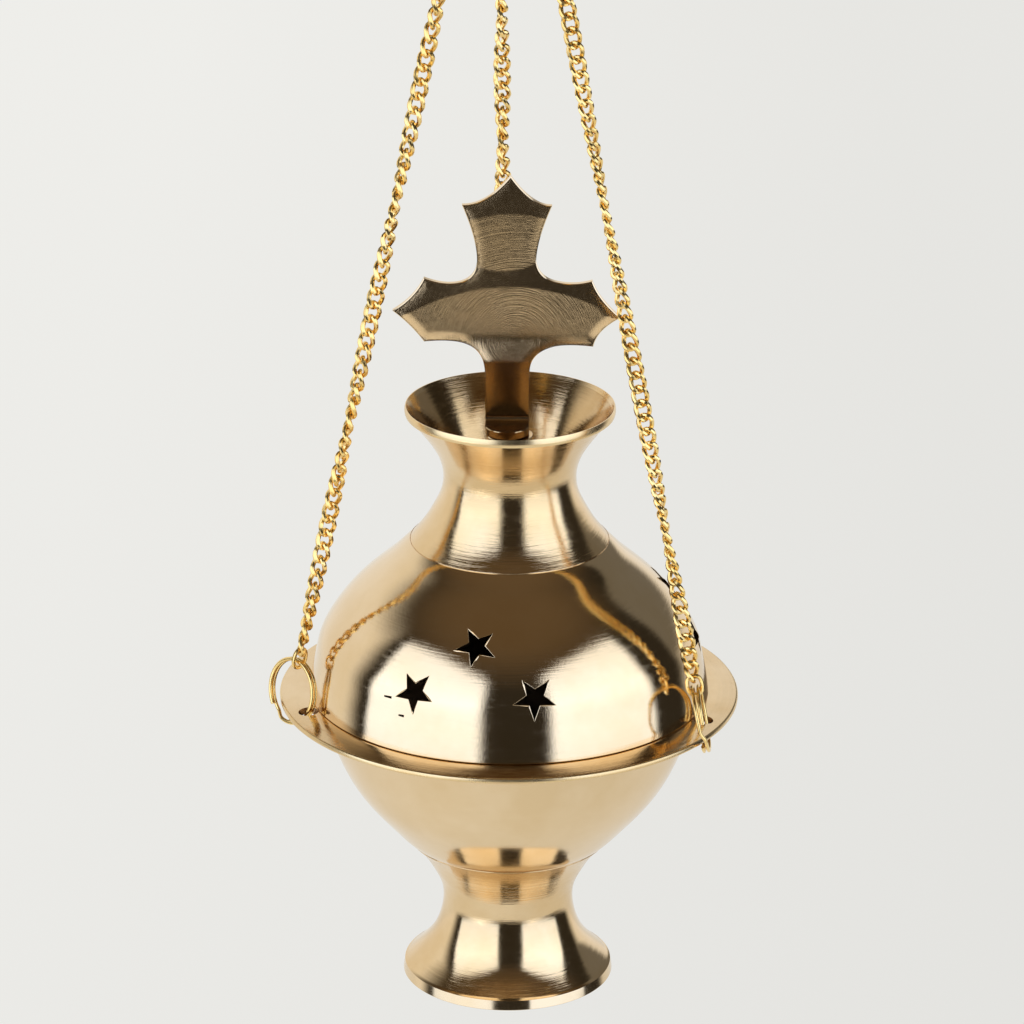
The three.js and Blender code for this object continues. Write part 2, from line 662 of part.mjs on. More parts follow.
// All the pieces of one chain, from its split ring up to its link on the upper ring
function chainPieces(line) {
  const { top, chordLine, ringCentre, along, faceNormal } = line;
  const ring = splitRing(
    ringRadius, RING_STRIP_THICK, RING_STRIP_WIDTH, RING_COIL_PITCH, RING_JOG_ANGLE,
  );

  const ringTop = ringCentre.clone().addScaledVector(along, ringRadius);
  const linkReach = (END_LINK_OPENING - RING_STRIP_THICK) / 2 - bandStandOff(ringBandWidth);
  const endCentre = ringTop.clone().addScaledVector(along, linkReach);
  const endLink = plainLink(END_LINK_OPENING, ringBandWidth + 2 * SEAM, END_LINK_WIRE);

  // Chain links between the two end links. The first and last are set by what they hook on,
  // the rest share the length evenly, with one looser joint where the chain is parted.
  const opening = LINK_PITCH + LINK_GAP;
  const first = endCentre.clone().addScaledVector(along, END_LINK_OPENING / 2 + opening / 2 - SEAM);
  const last = top.wireCentre.clone().addScaledVector(along, -(opening + LINK_WIRE) / 2);
  const run = last.clone().sub(first).dot(along);
  const kneeLoss = KNEE_GAP - LINK_GAP;
  const joints = Math.round((run + kneeLoss) / LINK_PITCH);
  const pitch = (run + kneeLoss) / joints;

  const halfTwist = radians(LINK_TWIST) / 2;
  const start = chordLine.clone().applyAxisAngle(along, halfTwist);
  const finish = new THREE.Vector3(1, 0, 0).applyAxisAngle(along, -halfTwist);
  const turn = foldedAngle(start, finish, along);

  const linkFrames = [];
  for (let i = 0; i <= joints; i += 1) {
    const travel = i * pitch - (i >= LOWER_LINK_COUNT ? kneeLoss : 0);
    const centre = first.clone().addScaledVector(along, travel);
    const wide = start.clone().applyAxisAngle(along, (turn * i) / joints);
    linkFrames.push(frameAt(centre, along, wide));
  }

  const topLink = plainLink(TOP_LINK_OPENING, topRingBandWidth + 2 * SEAM, TOP_LINK_WIRE);
  return {
    split_ring: ring.applyMatrix4(frameAt(ringCentre, faceNormal, chordLine)),
    end_link: endLink.applyMatrix4(frameAt(endCentre, along, faceNormal)),
    chain_lower: chainRun(linkFrames.slice(0, LOWER_LINK_COUNT)),
    chain_upper: chainRun(linkFrames.slice(LOWER_LINK_COUNT)),
    top_link: topLink.applyMatrix4(frameAt(top.linkCentre, top.axis, new THREE.Vector3(0, 1, 0))),
  };
}

function makeTopRing() {
  const ring = splitRing(
    topRingRadius, TOP_RING_STRIP_THICK, TOP_RING_STRIP_WIDTH, TOP_RING_COIL_PITCH, TOP_RING_JOG_ANGLE,
  );
  const centre = new THREE.Vector3(TOP_RING_OFFSET, 0, TOP_RING_CENTRE_HEIGHT);
  const facing = new THREE.Vector3(0, -1, 0);
  return ring.applyMatrix4(frameAt(centre, facing, new THREE.Vector3(1, 0, 0)));
}

// Finishes
const brass = (color, roughness) => new THREE.MeshStandardMaterial({ color, roughness, metalness: 1 });
const polished = () => brass(0xd9b878, 0.12);
const turnedBrass = () => brass(0xd4ae6a, 0.28);
const brushed = () => brass(0xa8905c, 0.38);
const chainBrass = () => brass(0xe0b04a, 0.2);

const hangHeight = TOP_RING_CENTRE_HEIGHT + topRingRadius - TOP_RING_STRIP_THICK / 2;
const censer = new THREE.Group();
const body = new THREE.Group();
body.position.set(-TOP_RING_OFFSET, 0, -hangHeight);
censer.add(body);

function addPiece(name, geometry, material) {
  const mesh = new THREE.Mesh(geometry, material);
  mesh.name = name;
  body.add(mesh);
}

addPiece('bowl', makeBowl(), polished());
addPiece('foot', makeFoot(), turnedBrass());
addPiece('lid_dome', makeDome(), polished());
addPiece('neck', makeNeck(), turnedBrass());
addPiece('cross', makeCross(), brushed());
addPiece('cross_pin', makeCrossPin(), brushed());
addPiece('top_ring', makeTopRing(), chainBrass());
CHAINS.forEach(({ name }, i) => {
  for (const [kind, geometry] of Object.entries(chainPieces(hangLines[i]))) {
    addPiece(`${kind}_${name}`, geometry, chainBrass());
  }
});

export default censer;
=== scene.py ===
import math
import random

import bpy
import numpy as np
from mathutils import Matrix, Vector
from mathutils.geometry import delaunay_2d_cdt


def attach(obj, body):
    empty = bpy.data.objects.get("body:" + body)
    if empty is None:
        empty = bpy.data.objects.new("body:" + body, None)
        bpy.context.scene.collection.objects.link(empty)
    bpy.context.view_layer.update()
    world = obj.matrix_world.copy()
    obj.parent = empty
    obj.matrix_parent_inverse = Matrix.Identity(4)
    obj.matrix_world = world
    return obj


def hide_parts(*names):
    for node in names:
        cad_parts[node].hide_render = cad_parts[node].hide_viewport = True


# A small polished brass censer on three chains, dressed over its CAD frame.
# Lengths are in millimetres, and heights are counted from the top of the bowl's flange, on
# the bowl's own axis. Every piece is moved to the row frame and to metres when it is made.

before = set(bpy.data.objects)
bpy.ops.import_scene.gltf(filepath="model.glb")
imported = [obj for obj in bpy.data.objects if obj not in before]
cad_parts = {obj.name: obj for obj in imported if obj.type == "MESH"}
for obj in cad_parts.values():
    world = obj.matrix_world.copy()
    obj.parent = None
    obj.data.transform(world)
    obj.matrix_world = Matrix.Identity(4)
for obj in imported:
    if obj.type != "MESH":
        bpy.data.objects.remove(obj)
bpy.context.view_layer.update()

MM = 0.001
AXIS_X = 1.7
HANG_HEIGHT = 223.0

# Flange, bowl and foot
FLANGE_RADIUS = 50.0
FLANGE_THICK = 1.2
FLANGE_FALL = 0.09
FLANGE_TURN = 45.2
FLANGE_LIFT = 0.2
FLANGE_EDGE_ROUND = 0.45
BOWL_RADIUS = 41.6
BOWL_STATIONS = [
    (BOWL_RADIUS, -FLANGE_THICK), (39.0, -9.95), (33.2, -22.0), (26.5, -30.0), (22.0, -34.5),
    (12.1, -38.55), (0, -39.8),
]
BOWL_SHEET = 1.2
BOWL_MOUTH_ROUND = 0.6
FOOT_STATIONS = [
    (21.95, -34.62), (19.0, -38.0), (16.5, -42.0), (14.7, -46.0), (14.3, -50.0),
    (14.95, -54.0), (16.7, -58.3), (19.6, -62.0), (22.5, -64.75),
]
FOOT_RIM_RADIUS = 23.15
FOOT_RIM_HEIGHT = -67.05
FOOT_RIM_BAND = 2.2
FOOT_RIM_TAPER = 0.3
FOOT_RIM_ROUND = 0.12
FOOT_WALL = 1.5
FOOT_STREAKS_LOW = -47.5

# Lid
DOME_STATIONS = [
    (43.5, 0.55), (43.2, 2.8), (42.75, 5.4), (42.15, 8.2), (41.3, 12.0), (38.8, 17.0),
    (35.05, 22.0), (30.25, 26.7), (25.4, 31.0), (21.6, 34.6), (11.6, 38.5), (0, 39.6),
]
DOME_SHEET = 1.2
DOME_LIP = 0.25
REGISTER_RADIUS = 39.6
REGISTER_DEPTH = 2.5
REGISTER_WALL = 1.1
NECK_STATIONS = [
    (21.55, 34.86), (19.0, 38.0), (16.6, 42.0), (14.8, 46.0), (14.35, 50.0), (15.3, 54.0), (17.6, 58.0),
    (21.9, 63.5),
]
NECK_RIM_RADIUS = 22.66
NECK_RIM_HEIGHT = 65.3
NECK_RIM_BAND = 1.75
NECK_RIM_BULGE = 22.0
CUP_STATIONS = [(13.0, 51.6), (14.3, 54.0), (16.4, 57.5), (19.0, 61.2), (22.3, 65.3)]
NECK_WALL = 1.3
NECK_FLOOR = 51.0
NECK_FLOOR_THICK = 1.5
BOSS_RADIUS = 5.05
BOSS_TOP = 58.7
BOSS_FILLET = 0.4
BOSS_EDGE = 0.2
BOSS_BORE = 1.9

# Star windows: azimuth, height and turn of each star, in clusters of three
STAR_CLUSTERS = [
    [(-101.7, 23.0, -6), (-119.4, 13.4, 4), (-82.2, 14.1, -4)],
    [(8.7, 22.5, 3), (-4.3, 13.8, -5), (32.7, 13.8, 6)],
    [(129.2, 23.0, 5), (110.7, 13.8, -3), (147.7, 13.8, 2)],
]
STAR_TIP = 4.8
STAR_INNER = 2.0
STAR_BURR = 0.1
STAR_BURR_SWELL = 2.4
STAR_CUT_DEPTH = 4.0

# Saw nicks beside the left star: place across and up from its centre, and length
SAW_NICKS = [(-6.3, -2.1, 2.0), (-2.4, -5.4, 1.4)]

# Cross: its outline on each side from the stem's foot to the tip, as the bend and the end of
# each curve, across and up. It is cut by hand and not quite even.
CROSS_PLATE = 1.7
CROSS_BACK = 3.15
CROSS_BEND_RADIUS = 1.0
CROSS_EDGE = 0.16
CROSS_ROLL = 0.15
CROSS_ROLL_WIDTH = 2.2
CROSS_GRID = 0.42
CROSS_CURVE_STEPS = 14
STEM_LEFT = -5.35
STEM_RIGHT = 4.1
CROSS_RIGHT = [
    ((4.1, 66.0), (4.15, 72.0)), ((4.4, 76.1), (9.5, 77.4)), ((12.5, 78.0), (17.7, 77.4)),
    ((18.5, 81.3), (23.5, 83.9)), ((18.7, 88.1), (17.4, 92.1)), ((13.6, 90.9), (9.5, 91.9)),
    ((5.8, 92.9), (5.4, 96.6)), ((5.5, 101.3), (8.7, 108.8)), ((4.6, 108.6), (-0.1, 115.3)),
]
CROSS_LEFT = [
    ((-5.4, 66.0), (-5.5, 72.0)), ((-5.8, 76.6), (-9.8, 78.0)), ((-12.7, 79.0), (-18.5, 78.4)),
    ((-21.2, 82.2), (-25.2, 85.3)), ((-20.6, 88.1), (-18.5, 92.6)), ((-13.8, 90.8), (-10.5, 91.8)),
    ((-7.3, 92.9), (-7.2, 96.7)), ((-7.2, 101.3), (-10.4, 108.9)), ((-5.4, 108.7), (-0.1, 115.3)),
]
TAB_GAP = 0.3

# Slopes that polishing left on the cross's face, and the heights of the stem's own zone
FACE_LEAN_DOWN = -0.07
FACE_LEAN_BACK = 0.10
STEM_LEAN_BACK = 0.02
STEM_LEAN_SIDE = -0.08
STEM_FACE_LOW = 73.9
STEM_FACE_HIGH = 79.2

# Chains: each one's flange hole azimuth and place on the upper ring
CHAINS = {"left": (-161.3, -3.6), "right": (-23.6, 3.6), "back": (98.0, -0.9)}
HOLE_RADIUS = 2.15
HOLE_CIRCLE_RADIUS = 45.7
HOLE_TAPER = 0.5
HOLE_SIDES = 40
SEAM = 0.3
LINK_GAP = 0.1
LINK_WIDTH = 3.9
LINK_PITCH = 3.1
LINK_TWIST = -90.0
LINK_CAD_WIRE = 0.8
LINK_WIRE = 1.04
LOWER_RUN_LINKS = 13
KNEE_GAP = 0.75
# How each chain turns about itself: half turns, and degrees more at its lower end
RUN_TWISTS = {"left": (4, 0.0), "right": (-3, -480.0), "back": (6, 0.0)}
END_LINK_WIRE = 0.9
END_LINK_OPENING = 3.4
TOP_LINK_WIRE = 0.9
TOP_LOOP_WIRE = 0.75
TOP_LINK_OPENING = 4.5
TOP_LINK_PLAY = 0.4

# Split rings. RING_PITCH is the coils' distance that the links' lengths are fitted to.
RING_DIAMETER = 14.8
RING_THICK = 0.8
RING_WIDTH = 0.7
RING_PITCH = 1.0
RING_COIL_PITCH = 0.9
RING_SKEW = -67.0
RING_CHORD = 12.0
# Where each ring steps from one turn to the next, in degrees, and how far its turns spread
RING_LAYS = {"left": (-64.0, 0.0), "right": (-12.0, 0.6), "back": (-12.0, 0.0)}
TOP_RING_DIAMETER = 22.0
TOP_RING_THICK = 1.2
TOP_RING_WIDTH = 1.0
TOP_RING_PITCH = 1.3
TOP_RING_HEIGHT = 213.2
TOP_RING_OFFSET = -1.7
TOP_RING_JOG = 140.0

TURNED_SIDES = 288
SEAM_BEAD = 0.27

# Brass: each finish's clean colour and its worn one. The darker ones marked below are painted shade.
POLISHED = ((0.85, 0.66, 0.42), (0.80, 0.60, 0.35))
TURNED = ((0.83, 0.63, 0.38), (0.76, 0.54, 0.28))
# Painted shade: darker brass for the inside of the neck's cup
CUP_SHADE = ((0.72, 0.52, 0.29), (0.62, 0.42, 0.20))
# Painted shade: dark brown brass for the insides of the bowl and lid
INSIDE_SHADE = ((0.28, 0.18, 0.10), (0.16, 0.10, 0.055))
PLATE = ((0.90, 0.66, 0.38), (0.84, 0.59, 0.31))
RIM = ((0.84, 0.63, 0.34), (0.78, 0.55, 0.26))
# Painted shade: darker brass for the cross's stem, down in the neck's cup
STEM_SHADE = ((0.52, 0.37, 0.20), (0.42, 0.28, 0.14))
# Painted shade: dark brown brass for the walls of the drilled holes and the cut stars
HOLE_SHADE = ((0.34, 0.20, 0.09), (0.22, 0.12, 0.05))
WIRE = ((0.97, 0.71, 0.29), (0.92, 0.62, 0.20))

# Marks of the sanding disc on the cross: their depth, and the disc's centre in metres
SANDING_DEPTH = 0.022
DISC_CENTRE = (0.003, 0.0, -0.144)

# Floor, in metres: its height, its left, right, front and back edges, and its glow from one
# place to another across and away
PALE = (0.84, 0.835, 0.805)
FLOOR_HEIGHT = -0.62
FLOOR_EDGES = (-0.95, 0.80, -0.88, 6.0)
FLOOR_ACROSS = (-0.2, 0.22, 1.035, 0.962)
FLOOR_AWAY = (0.6, 1.9, 0.975, 1.012)
FLOOR_GLOW_SHARE = 0.97

# Surroundings as reflections show them. The angles are in degrees, from the edge of each dark
# part to where it is full.
SURROUND = (0.9, 0.8865, 0.855)
ROOM = (0.031, 0.027, 0.021)
ROOM_TOP = (0.125, 0.088, 0.052)
ROOM_AZIMUTH = 12
ROOM_SIDES = (122, 104)
OVERHEAD = (24, 48)
ROOM_TOP_RISE = (35, 75)
SCREEN_SIDES = (40, 24)
SCREEN_RISE = (0, 9)
SCREEN_SHARE = 0.84

# Softboxes, in metres: azimuth in degrees, width, and the heights of their lower and upper edges
SOFTBOXES = {"softbox_left": (-50.5, 0.97, -0.54, 0.53), "softbox_right": (56.5, 0.89, -0.54, 0.55)}
BOX_DISTANCE = 0.656
BOX_COLOUR = (0.70, 0.79, 0.98)
BOX_RADIANCE = 1.9
BOX_SOFT_SIDE = 0.045
BOX_SOFT_END = 0.065
BOX_END_GLOW = 0.82
BOX_MIDDLE_GLOW = 1.14

# Camera at the photograph's view, found from the outlines of the turned parts
PHOTO_SIDE = 1024
FOCAL_PIXELS = 5174.3
SENSOR = 36.0
AIM_HEIGHT = 40.84
CAMERA_DISTANCE = 1116.1
CAMERA_ELEVATION = 20.6
CAMERA_ROLL = 0.26
AXIS_PIXEL = 509.7


def to_row(point):
    """A point of the bowl's own frame, in millimetres, as row frame metres."""
    return Vector(((point[0] + AXIS_X) * MM, point[1] * MM, (point[2] - HANG_HEIGHT) * MM))


def make_object(name, points, faces, material, sharp=35.0):
    """A smooth-shaded mesh object with sharp edges above an angle, from points in millimetres."""
    mesh = bpy.data.meshes.new(name)
    mesh.from_pydata([to_row(p) for p in points], [], faces)
    mesh.validate()
    mesh.shade_smooth()
    mesh.set_sharp_from_angle(angle=math.radians(sharp))
    mesh.materials.append(material)
    piece = bpy.data.objects.new(name, mesh)
    bpy.context.scene.collection.objects.link(piece)
    return piece


def dress(piece, body, slot, *nodes):
    """The piece stands for its CAD nodes and rides on their body; the slot is not used."""
    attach(piece, body)
    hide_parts(*nodes)


def join(pieces, name):
    """Several objects as one, with the first one's place and all their materials."""
    with bpy.context.temp_override(
        active_object=pieces[0], object=pieces[0], selected_objects=pieces,
        selected_editable_objects=pieces,
    ):
        bpy.ops.object.join()
    pieces[0].name = name
    pieces[0].data.name = name
    return pieces[0]


# Smooth runs and turned shapes


def smooth_run(stations, spacing=0.7):
    """A natural cubic spline through (radius, height) stations, in steps of about a spacing."""
    pts = np.array(stations, dtype=float)
    knots = np.concatenate([[0], np.cumsum(np.hypot(*np.diff(pts, axis=0).T))])
    n = len(knots)
    h = np.diff(knots)
    system = np.eye(n)
    bends = np.zeros((n, 2))
    for i in range(1, n - 1):
        system[i, i - 1:i + 2] = h[i - 1], 2 * (h[i - 1] + h[i]), h[i]
        bends[i] = 6 * ((pts[i + 1] - pts[i]) / h[i] - (pts[i] - pts[i - 1]) / h[i - 1])
    bends = np.linalg.solve(system, bends)
    count = max(2, round(knots[-1] / spacing))
    run = []
    for t in np.linspace(0, knots[-1], count + 1):
        i = min(np.searchsorted(knots, t, side="right") - 1, n - 2)
        a = (knots[i + 1] - t) / h[i]
        b = (t - knots[i]) / h[i]
        curve = ((a ** 3 - a) * bends[i] + (b ** 3 - b) * bends[i + 1]) * h[i] ** 2 / 6
        run.append(tuple(a * pts[i] + b * pts[i + 1] + curve))
    return run


def shifted(run, wall):
    """The same run moved in towards the axis by a wall, square to itself."""
    wall *= 1 if run[-1][1] > run[0][1] else -1
    moved = []
    for i, (r, z) in enumerate(run):
        r0, z0 = run[max(i - 1, 0)]
        r1, z1 = run[min(i + 1, len(run) - 1)]
        length = math.hypot(r1 - r0, z1 - z0)
        moved.append((r - wall * (z1 - z0) / length, z + wall * (r1 - r0) / length))
    return moved


def rounded(corner, radius, start, end, steps=5):
    """Points of an arc of a radius about a corner's centre, between two angles in degrees."""
    angles = [math.radians(start + (end - start) * i / steps) for i in range(steps + 1)]
    return [(corner[0] + radius * math.cos(a), corner[1] + radius * math.sin(a)) for a in angles]


def turned(name, outline, material, sides=TURNED_SIDES, sharp=35.0):
    """Turns a closed outline of (radius, height) points about the bowl's axis."""
    area = sum(a[0] * b[1] - b[0] * a[1] for a, b in zip(outline, outline[1:] + outline[:1]))
    if area < 0:
        outline = outline[::-1]
    points = []
    rings = []
    for r, z in outline:
        if r < 1e-6:
            rings.append([len(points)] * sides)
            points.append((0, 0, z))
            continue
        rings.append(list(range(len(points), len(points) + sides)))
        for k in range(sides):
            a = 2 * math.pi * k / sides
            points.append((r * math.cos(a), r * math.sin(a), z))
    faces = []
    for ring, after in zip(rings, rings[1:] + rings[:1]):
        for k in range(sides):
            m = (k + 1) % sides
            corners = [ring[k], ring[m], after[m], after[k]]
            corners = [c for i, c in enumerate(corners) if c not in corners[:i]]
            if len(corners) > 2:
                faces.append(corners)
    piece = make_object(name, points, faces, material, sharp)
    weigh_normals(piece)
    return piece


def weigh_normals(piece):
    """Larger faces keep their own normals, so that small fillets don't bend them."""
    step = piece.modifiers.new("weigh", "WEIGHTED_NORMAL")
    step.mode = "FACE_AREA"
    step.keep_sharp = True


def refinish(piece, material, wanted):
    """Gives another finish to the faces whose centre and normal pass a test, in millimetres."""
    piece.data.materials.append(material)
    for face in piece.data.polygons:
        centre = face.center / MM - Vector((AXIS_X, 0, -HANG_HEIGHT))
        outward = face.normal.x * centre.x + face.normal.y * centre.y
        if wanted(centre, outward, face.normal.z):
            face.material_index = len(piece.data.materials) - 1


def at_height(run, height):
    """(radius, height, slope) of a run at a height, the slope as (dr, dz) of unit length."""
    for (r0, z0), (r1, z1) in zip(run, run[1:]):
        if (z0 - height) * (z1 - height) <= 0 and z0 != z1:
            share = (height - z0) / (z1 - z0)
            length = math.hypot(r1 - r0, z1 - z0)
            return r0 + share * (r1 - r0), height, ((r1 - r0) / length, (z1 - z0) / length)
    raise ValueError(f"no point at height {height}")


def prism(name, low, high, material):
    """A closed solid between two outlines with the same count of corners."""
    n = len(low)
    faces = [list(range(n))[::-1], list(range(n, 2 * n))]
    faces += [[k, (k + 1) % n, n + (k + 1) % n, n + k] for k in range(n)]
    return make_object(name, low + high, faces, material)


def cut(piece, cutters):
    """Subtracts the cutters from a piece and deletes them."""
    piece.modifiers.clear()
    for cutter in cutters:
        step = piece.modifiers.new("cut", "BOOLEAN")
        step.operation = "DIFFERENCE"
        step.solver = "EXACT"
        step.object = cutter
    bpy.context.view_layer.update()
    result = piece.evaluated_get(bpy.context.evaluated_depsgraph_get())
    mesh = bpy.data.meshes.new_from_object(result)
    piece.modifiers.clear()
    old = piece.data
    piece.data = mesh
    bpy.data.meshes.remove(old)
    for cutter in cutters:
        bpy.data.meshes.remove(cutter.data)
    mesh.shade_smooth()
    mesh.set_sharp_from_angle(angle=math.radians(35))
    weigh_normals(piece)


# Tubes along paths


def row_faces(rows, sides, closed=False):
    """Faces between rows of points, with a cap at each end unless the rows close on themselves."""
    faces = []
    for i in range(rows if closed else rows - 1):
        j = (i + 1) % rows
        for k in range(sides):
            m = (k + 1) % sides
            faces.append([i * sides + k, i * sides + m, j * sides + m, j * sides + k])
    if not closed:
        faces.append(list(range(sides))[::-1])
        faces.append(list(range((rows - 1) * sides, rows * sides)))
    return faces


def tube(path, sides, thick, wide, normals, closed, swell=None):
    """Points and faces of a tube along a path. Each normal gives its section's thick way, and
    a swell for each point makes it thicker there."""
    points = []
    count = len(path)
    for i, centre in enumerate(path):
        before = path[(i - 1) % count] if closed else path[max(i - 1, 0)]
        after = path[(i + 1) % count] if closed else path[min(i + 1, count - 1)]
        along = (after - before).normalized()
        across = along.cross(normals[i]).normalized()
        out = across.cross(along)
        size = swell[i] if swell else 1
        for k in range(sides):
            a = 2 * math.pi * k / sides
            c, s = math.cos(a) * size, math.sin(a) * size
            points.append(centre + out * (thick / 2 * c) + across * (wide / 2 * s))
    return points, row_faces(count, sides, closed)


def merged(parts):
    """Several (points, faces) as one."""
    points = []
    faces = []
    for part_points, part_faces in parts:
        base = len(points)
        points += part_points
        faces += [[base + i for i in face] for face in part_faces]
    return points, faces


def frame_at(centre, z_way, x_way):
    """A frame with its Z along one direction and its X as near as can be to another."""
    z = z_way.normalized()
    y = z.cross(x_way).normalized()
    x = y.cross(z)
    turn = Matrix((x, y, z)).transposed().to_4x4()
    return Matrix.Translation(centre) @ turn


# Materials


def nodes_of(name):
    """A new material and its emptied node tree."""
    material = bpy.data.materials.new(name)
    material.use_nodes = True
    tree = material.node_tree
    tree.nodes.clear()
    return material, tree


def plug(tree, socket, value):
    """Links an input to an output, or sets it to a number or colour."""
    if isinstance(value, bpy.types.NodeSocket):
        tree.links.new(value, socket)
    else:
        socket.default_value = value


def add(tree, kind, **inputs):
    """A node with some inputs linked or set, each by its name with spaces as underscores."""
    node = tree.nodes.new(kind)
    for key, value in inputs.items():
        plug(tree, node.inputs[key.replace("_", " ")], value)
    return node


def maths(tree, operation, *values):
    node = tree.nodes.new("ShaderNodeMath")
    node.operation = operation
    for socket, value in zip(node.inputs, values):
        plug(tree, socket, value)
    return node.outputs[0]


def vector_maths(tree, operation, *values):
    node = tree.nodes.new("ShaderNodeVectorMath")
    node.operation = operation
    for socket, value in zip(node.inputs, values):
        plug(tree, socket, value)
    return node.outputs


def scaled(tree, vector, factors):
    return vector_maths(tree, "MULTIPLY", vector, factors)[0]


def flat_length(tree, x, y):
    squares = [maths(tree, "MULTIPLY", side, side) for side in (x, y)]
    return maths(tree, "SQRT", maths(tree, "ADD", *squares))


def noise(tree, vector, scale, detail=3.0, roughness=0.55):
    node = add(
        tree, "ShaderNodeTexNoise", Vector=vector, Scale=scale, Detail=detail, Roughness=roughness,
    )
    return node.outputs["Fac"]


def ramp(tree, value, stops):
    node = tree.nodes.new("ShaderNodeValToRGB")
    while len(node.color_ramp.elements) < len(stops):
        node.color_ramp.elements.new(0.5)
    for element, (place, colour) in zip(node.color_ramp.elements, stops):
        element.position = place
        element.color = (*colour, 1)
    tree.links.new(value, node.inputs[0])
    return node.outputs[0]


def remap(tree, value, low, high, to_low=0.0, to_high=1.0, curve="LINEAR"):
    """A value moved from one range to another, and held at the ends of the new one."""
    node = add(
        tree, "ShaderNodeMapRange", Value=value, From_Min=low, From_Max=high, To_Min=to_low, To_Max=to_high,
    )
    node.interpolation_type = curve
    return node.outputs["Result"]


def mixed(tree, share, first, second):
    """A colour between two, each an output or a colour."""
    node = tree.nodes.new("ShaderNodeMix")
    node.data_type = "RGBA"
    for key, value in (("Factor", share), ("A", first), ("B", second)):
        plug(tree, node.inputs[key], value)
    return node.outputs["Result"]


def turning_coordinates(tree):
    """Radius, height and angle about the bowl's axis, so that noise runs in lathe rings."""
    place = tree.nodes.new("ShaderNodeTexCoord").outputs["Object"]
    across, y, z = add(tree, "ShaderNodeSeparateXYZ", Vector=place).outputs
    x = maths(tree, "SUBTRACT", across, AXIS_X * MM)
    angle = maths(tree, "ARCTAN2", y, x)
    joined = add(tree, "ShaderNodeCombineXYZ", X=flat_length(tree, x, y), Y=z, Z=angle)
    return place, joined.outputs[0]


def brass(name, finish, roughness, ring_depth=0.0, ring_scale=1500.0, scuff_depth=0.0,
          wave_depth=0.0, arcs=0.0, pits=0.0, streaks=0.0):
    """Brass with tarnish in its colour and, as asked, lathe rings, scuffs, waves, sanding arcs
    and pits. Depths are in millimetres, and streaks are rougher lines along the lathe rings."""
    colour, worn = finish
    material, tree = nodes_of(name)
    place, rings = turning_coordinates(tree)

    cloud = noise(tree, place, 55.0, 5.0)
    tint = ramp(tree, cloud, [(0.36, worn), (0.62, colour)])
    fine = noise(tree, place, 900.0, 3.0)
    rough = maths(tree, "ADD", remap(tree, cloud, 0.3, 0.7, roughness * 1.35, roughness * 0.8),
                  remap(tree, fine, 0.3, 0.7, -0.02, 0.02))
    if streaks:
        line = noise(tree, scaled(tree, rings, (1.0, 1.0, 0.006)), 900.0, 6.0, 0.85)
        rough = maths(tree, "ADD", rough, remap(tree, line, 0.5, 0.68, 0.0, streaks))
    shader = add(tree, "ShaderNodeBsdfPrincipled", Metallic=1.0, Base_Color=tint, Roughness=rough)
    add(tree, "ShaderNodeOutputMaterial", Surface=shader.outputs[0])

    height = None
    layers = [
        (ring_depth, lambda: noise(tree, scaled(tree, rings, (1.0, 1.0, 0.0006)), ring_scale, 4.0, 0.7)),
        (scuff_depth, lambda: noise(tree, scaled(tree, place, (1.0, 0.12, 0.35)), 2600.0, 4.0, 0.75)),
        (wave_depth, lambda: noise(tree, scaled(tree, rings, (1.0, 1.0, 0.004)), 160.0, 2.0, 0.5)),
        (arcs, lambda: arc_lines(tree, place)),
        (pits, lambda: pit_marks(tree, place)),
    ]
    for depth, layer in layers:
        if depth:
            part = maths(tree, "MULTIPLY", layer(), depth * MM)
            height = part if height is None else maths(tree, "ADD", height, part)
    if height is not None:
        bump = add(tree, "ShaderNodeBump", Strength=1.0, Distance=1.0, Height=height)
        plug(tree, shader.inputs["Normal"], bump.outputs[0])
    return material


def arc_lines(tree, place):
    """Arcs of a sanding disc, as lines about a centre below the plate."""
    offset = vector_maths(tree, "SUBTRACT", place, DISC_CENTRE)[0]
    length = vector_maths(tree, "LENGTH", scaled(tree, offset, (1.0, 0.0, 1.0)))["Value"]
    drift = maths(tree, "MULTIPLY", noise(tree, place, 40.0, 2.0), 0.004)
    joined = add(tree, "ShaderNodeCombineXYZ", X=length, Y=drift)
    return noise(tree, joined.outputs[0], 4000.0, 3.0, 0.6)


def pit_marks(tree, place):
    """A few small round pits, deepest at their middles."""
    cells = add(tree, "ShaderNodeTexVoronoi", Vector=place, Scale=75.0, Randomness=1.0)
    return remap(tree, cells.outputs["Distance"], 0.02, 0.06)


dome_brass = brass("dome_brass", POLISHED, 0.065, ring_depth=0.014, ring_scale=2400.0,
                   scuff_depth=0.009, wave_depth=0.02, streaks=0.1)
bowl_brass = brass("bowl_brass", POLISHED, 0.11, ring_depth=0.005, scuff_depth=0.001, pits=0.03, streaks=0.08)
flange_brass = brass("flange_brass", TURNED, 0.11, ring_depth=0.02, streaks=0.1)
turned_brass = brass("turned_brass", TURNED, 0.10, ring_depth=0.05, streaks=0.12)
foot_brass = brass("foot_brass", TURNED, 0.09, ring_depth=0.026, streaks=0.08)
# Painted shade for the inside of the neck's cup
cup_shade_brass = brass("cup_shade_brass", CUP_SHADE, 0.11, ring_depth=0.045, ring_scale=1300.0, streaks=0.1)
# Painted shade for the insides of the bowl and lid
inside_shade_brass = brass("inside_shade_brass", INSIDE_SHADE, 0.4)
plate_brass = brass("plate_brass", PLATE, 0.16, arcs=SANDING_DEPTH)
wire_brass = brass("wire_brass", WIRE, 0.20)
edge_brass = brass("edge_brass", POLISHED, 0.12)
rim_brass = brass("rim_brass", RIM, 0.26)
# Painted shade for the cross's stem and tab
stem_shade_brass = brass("stem_shade_brass", STEM_SHADE, 0.18, arcs=SANDING_DEPTH)
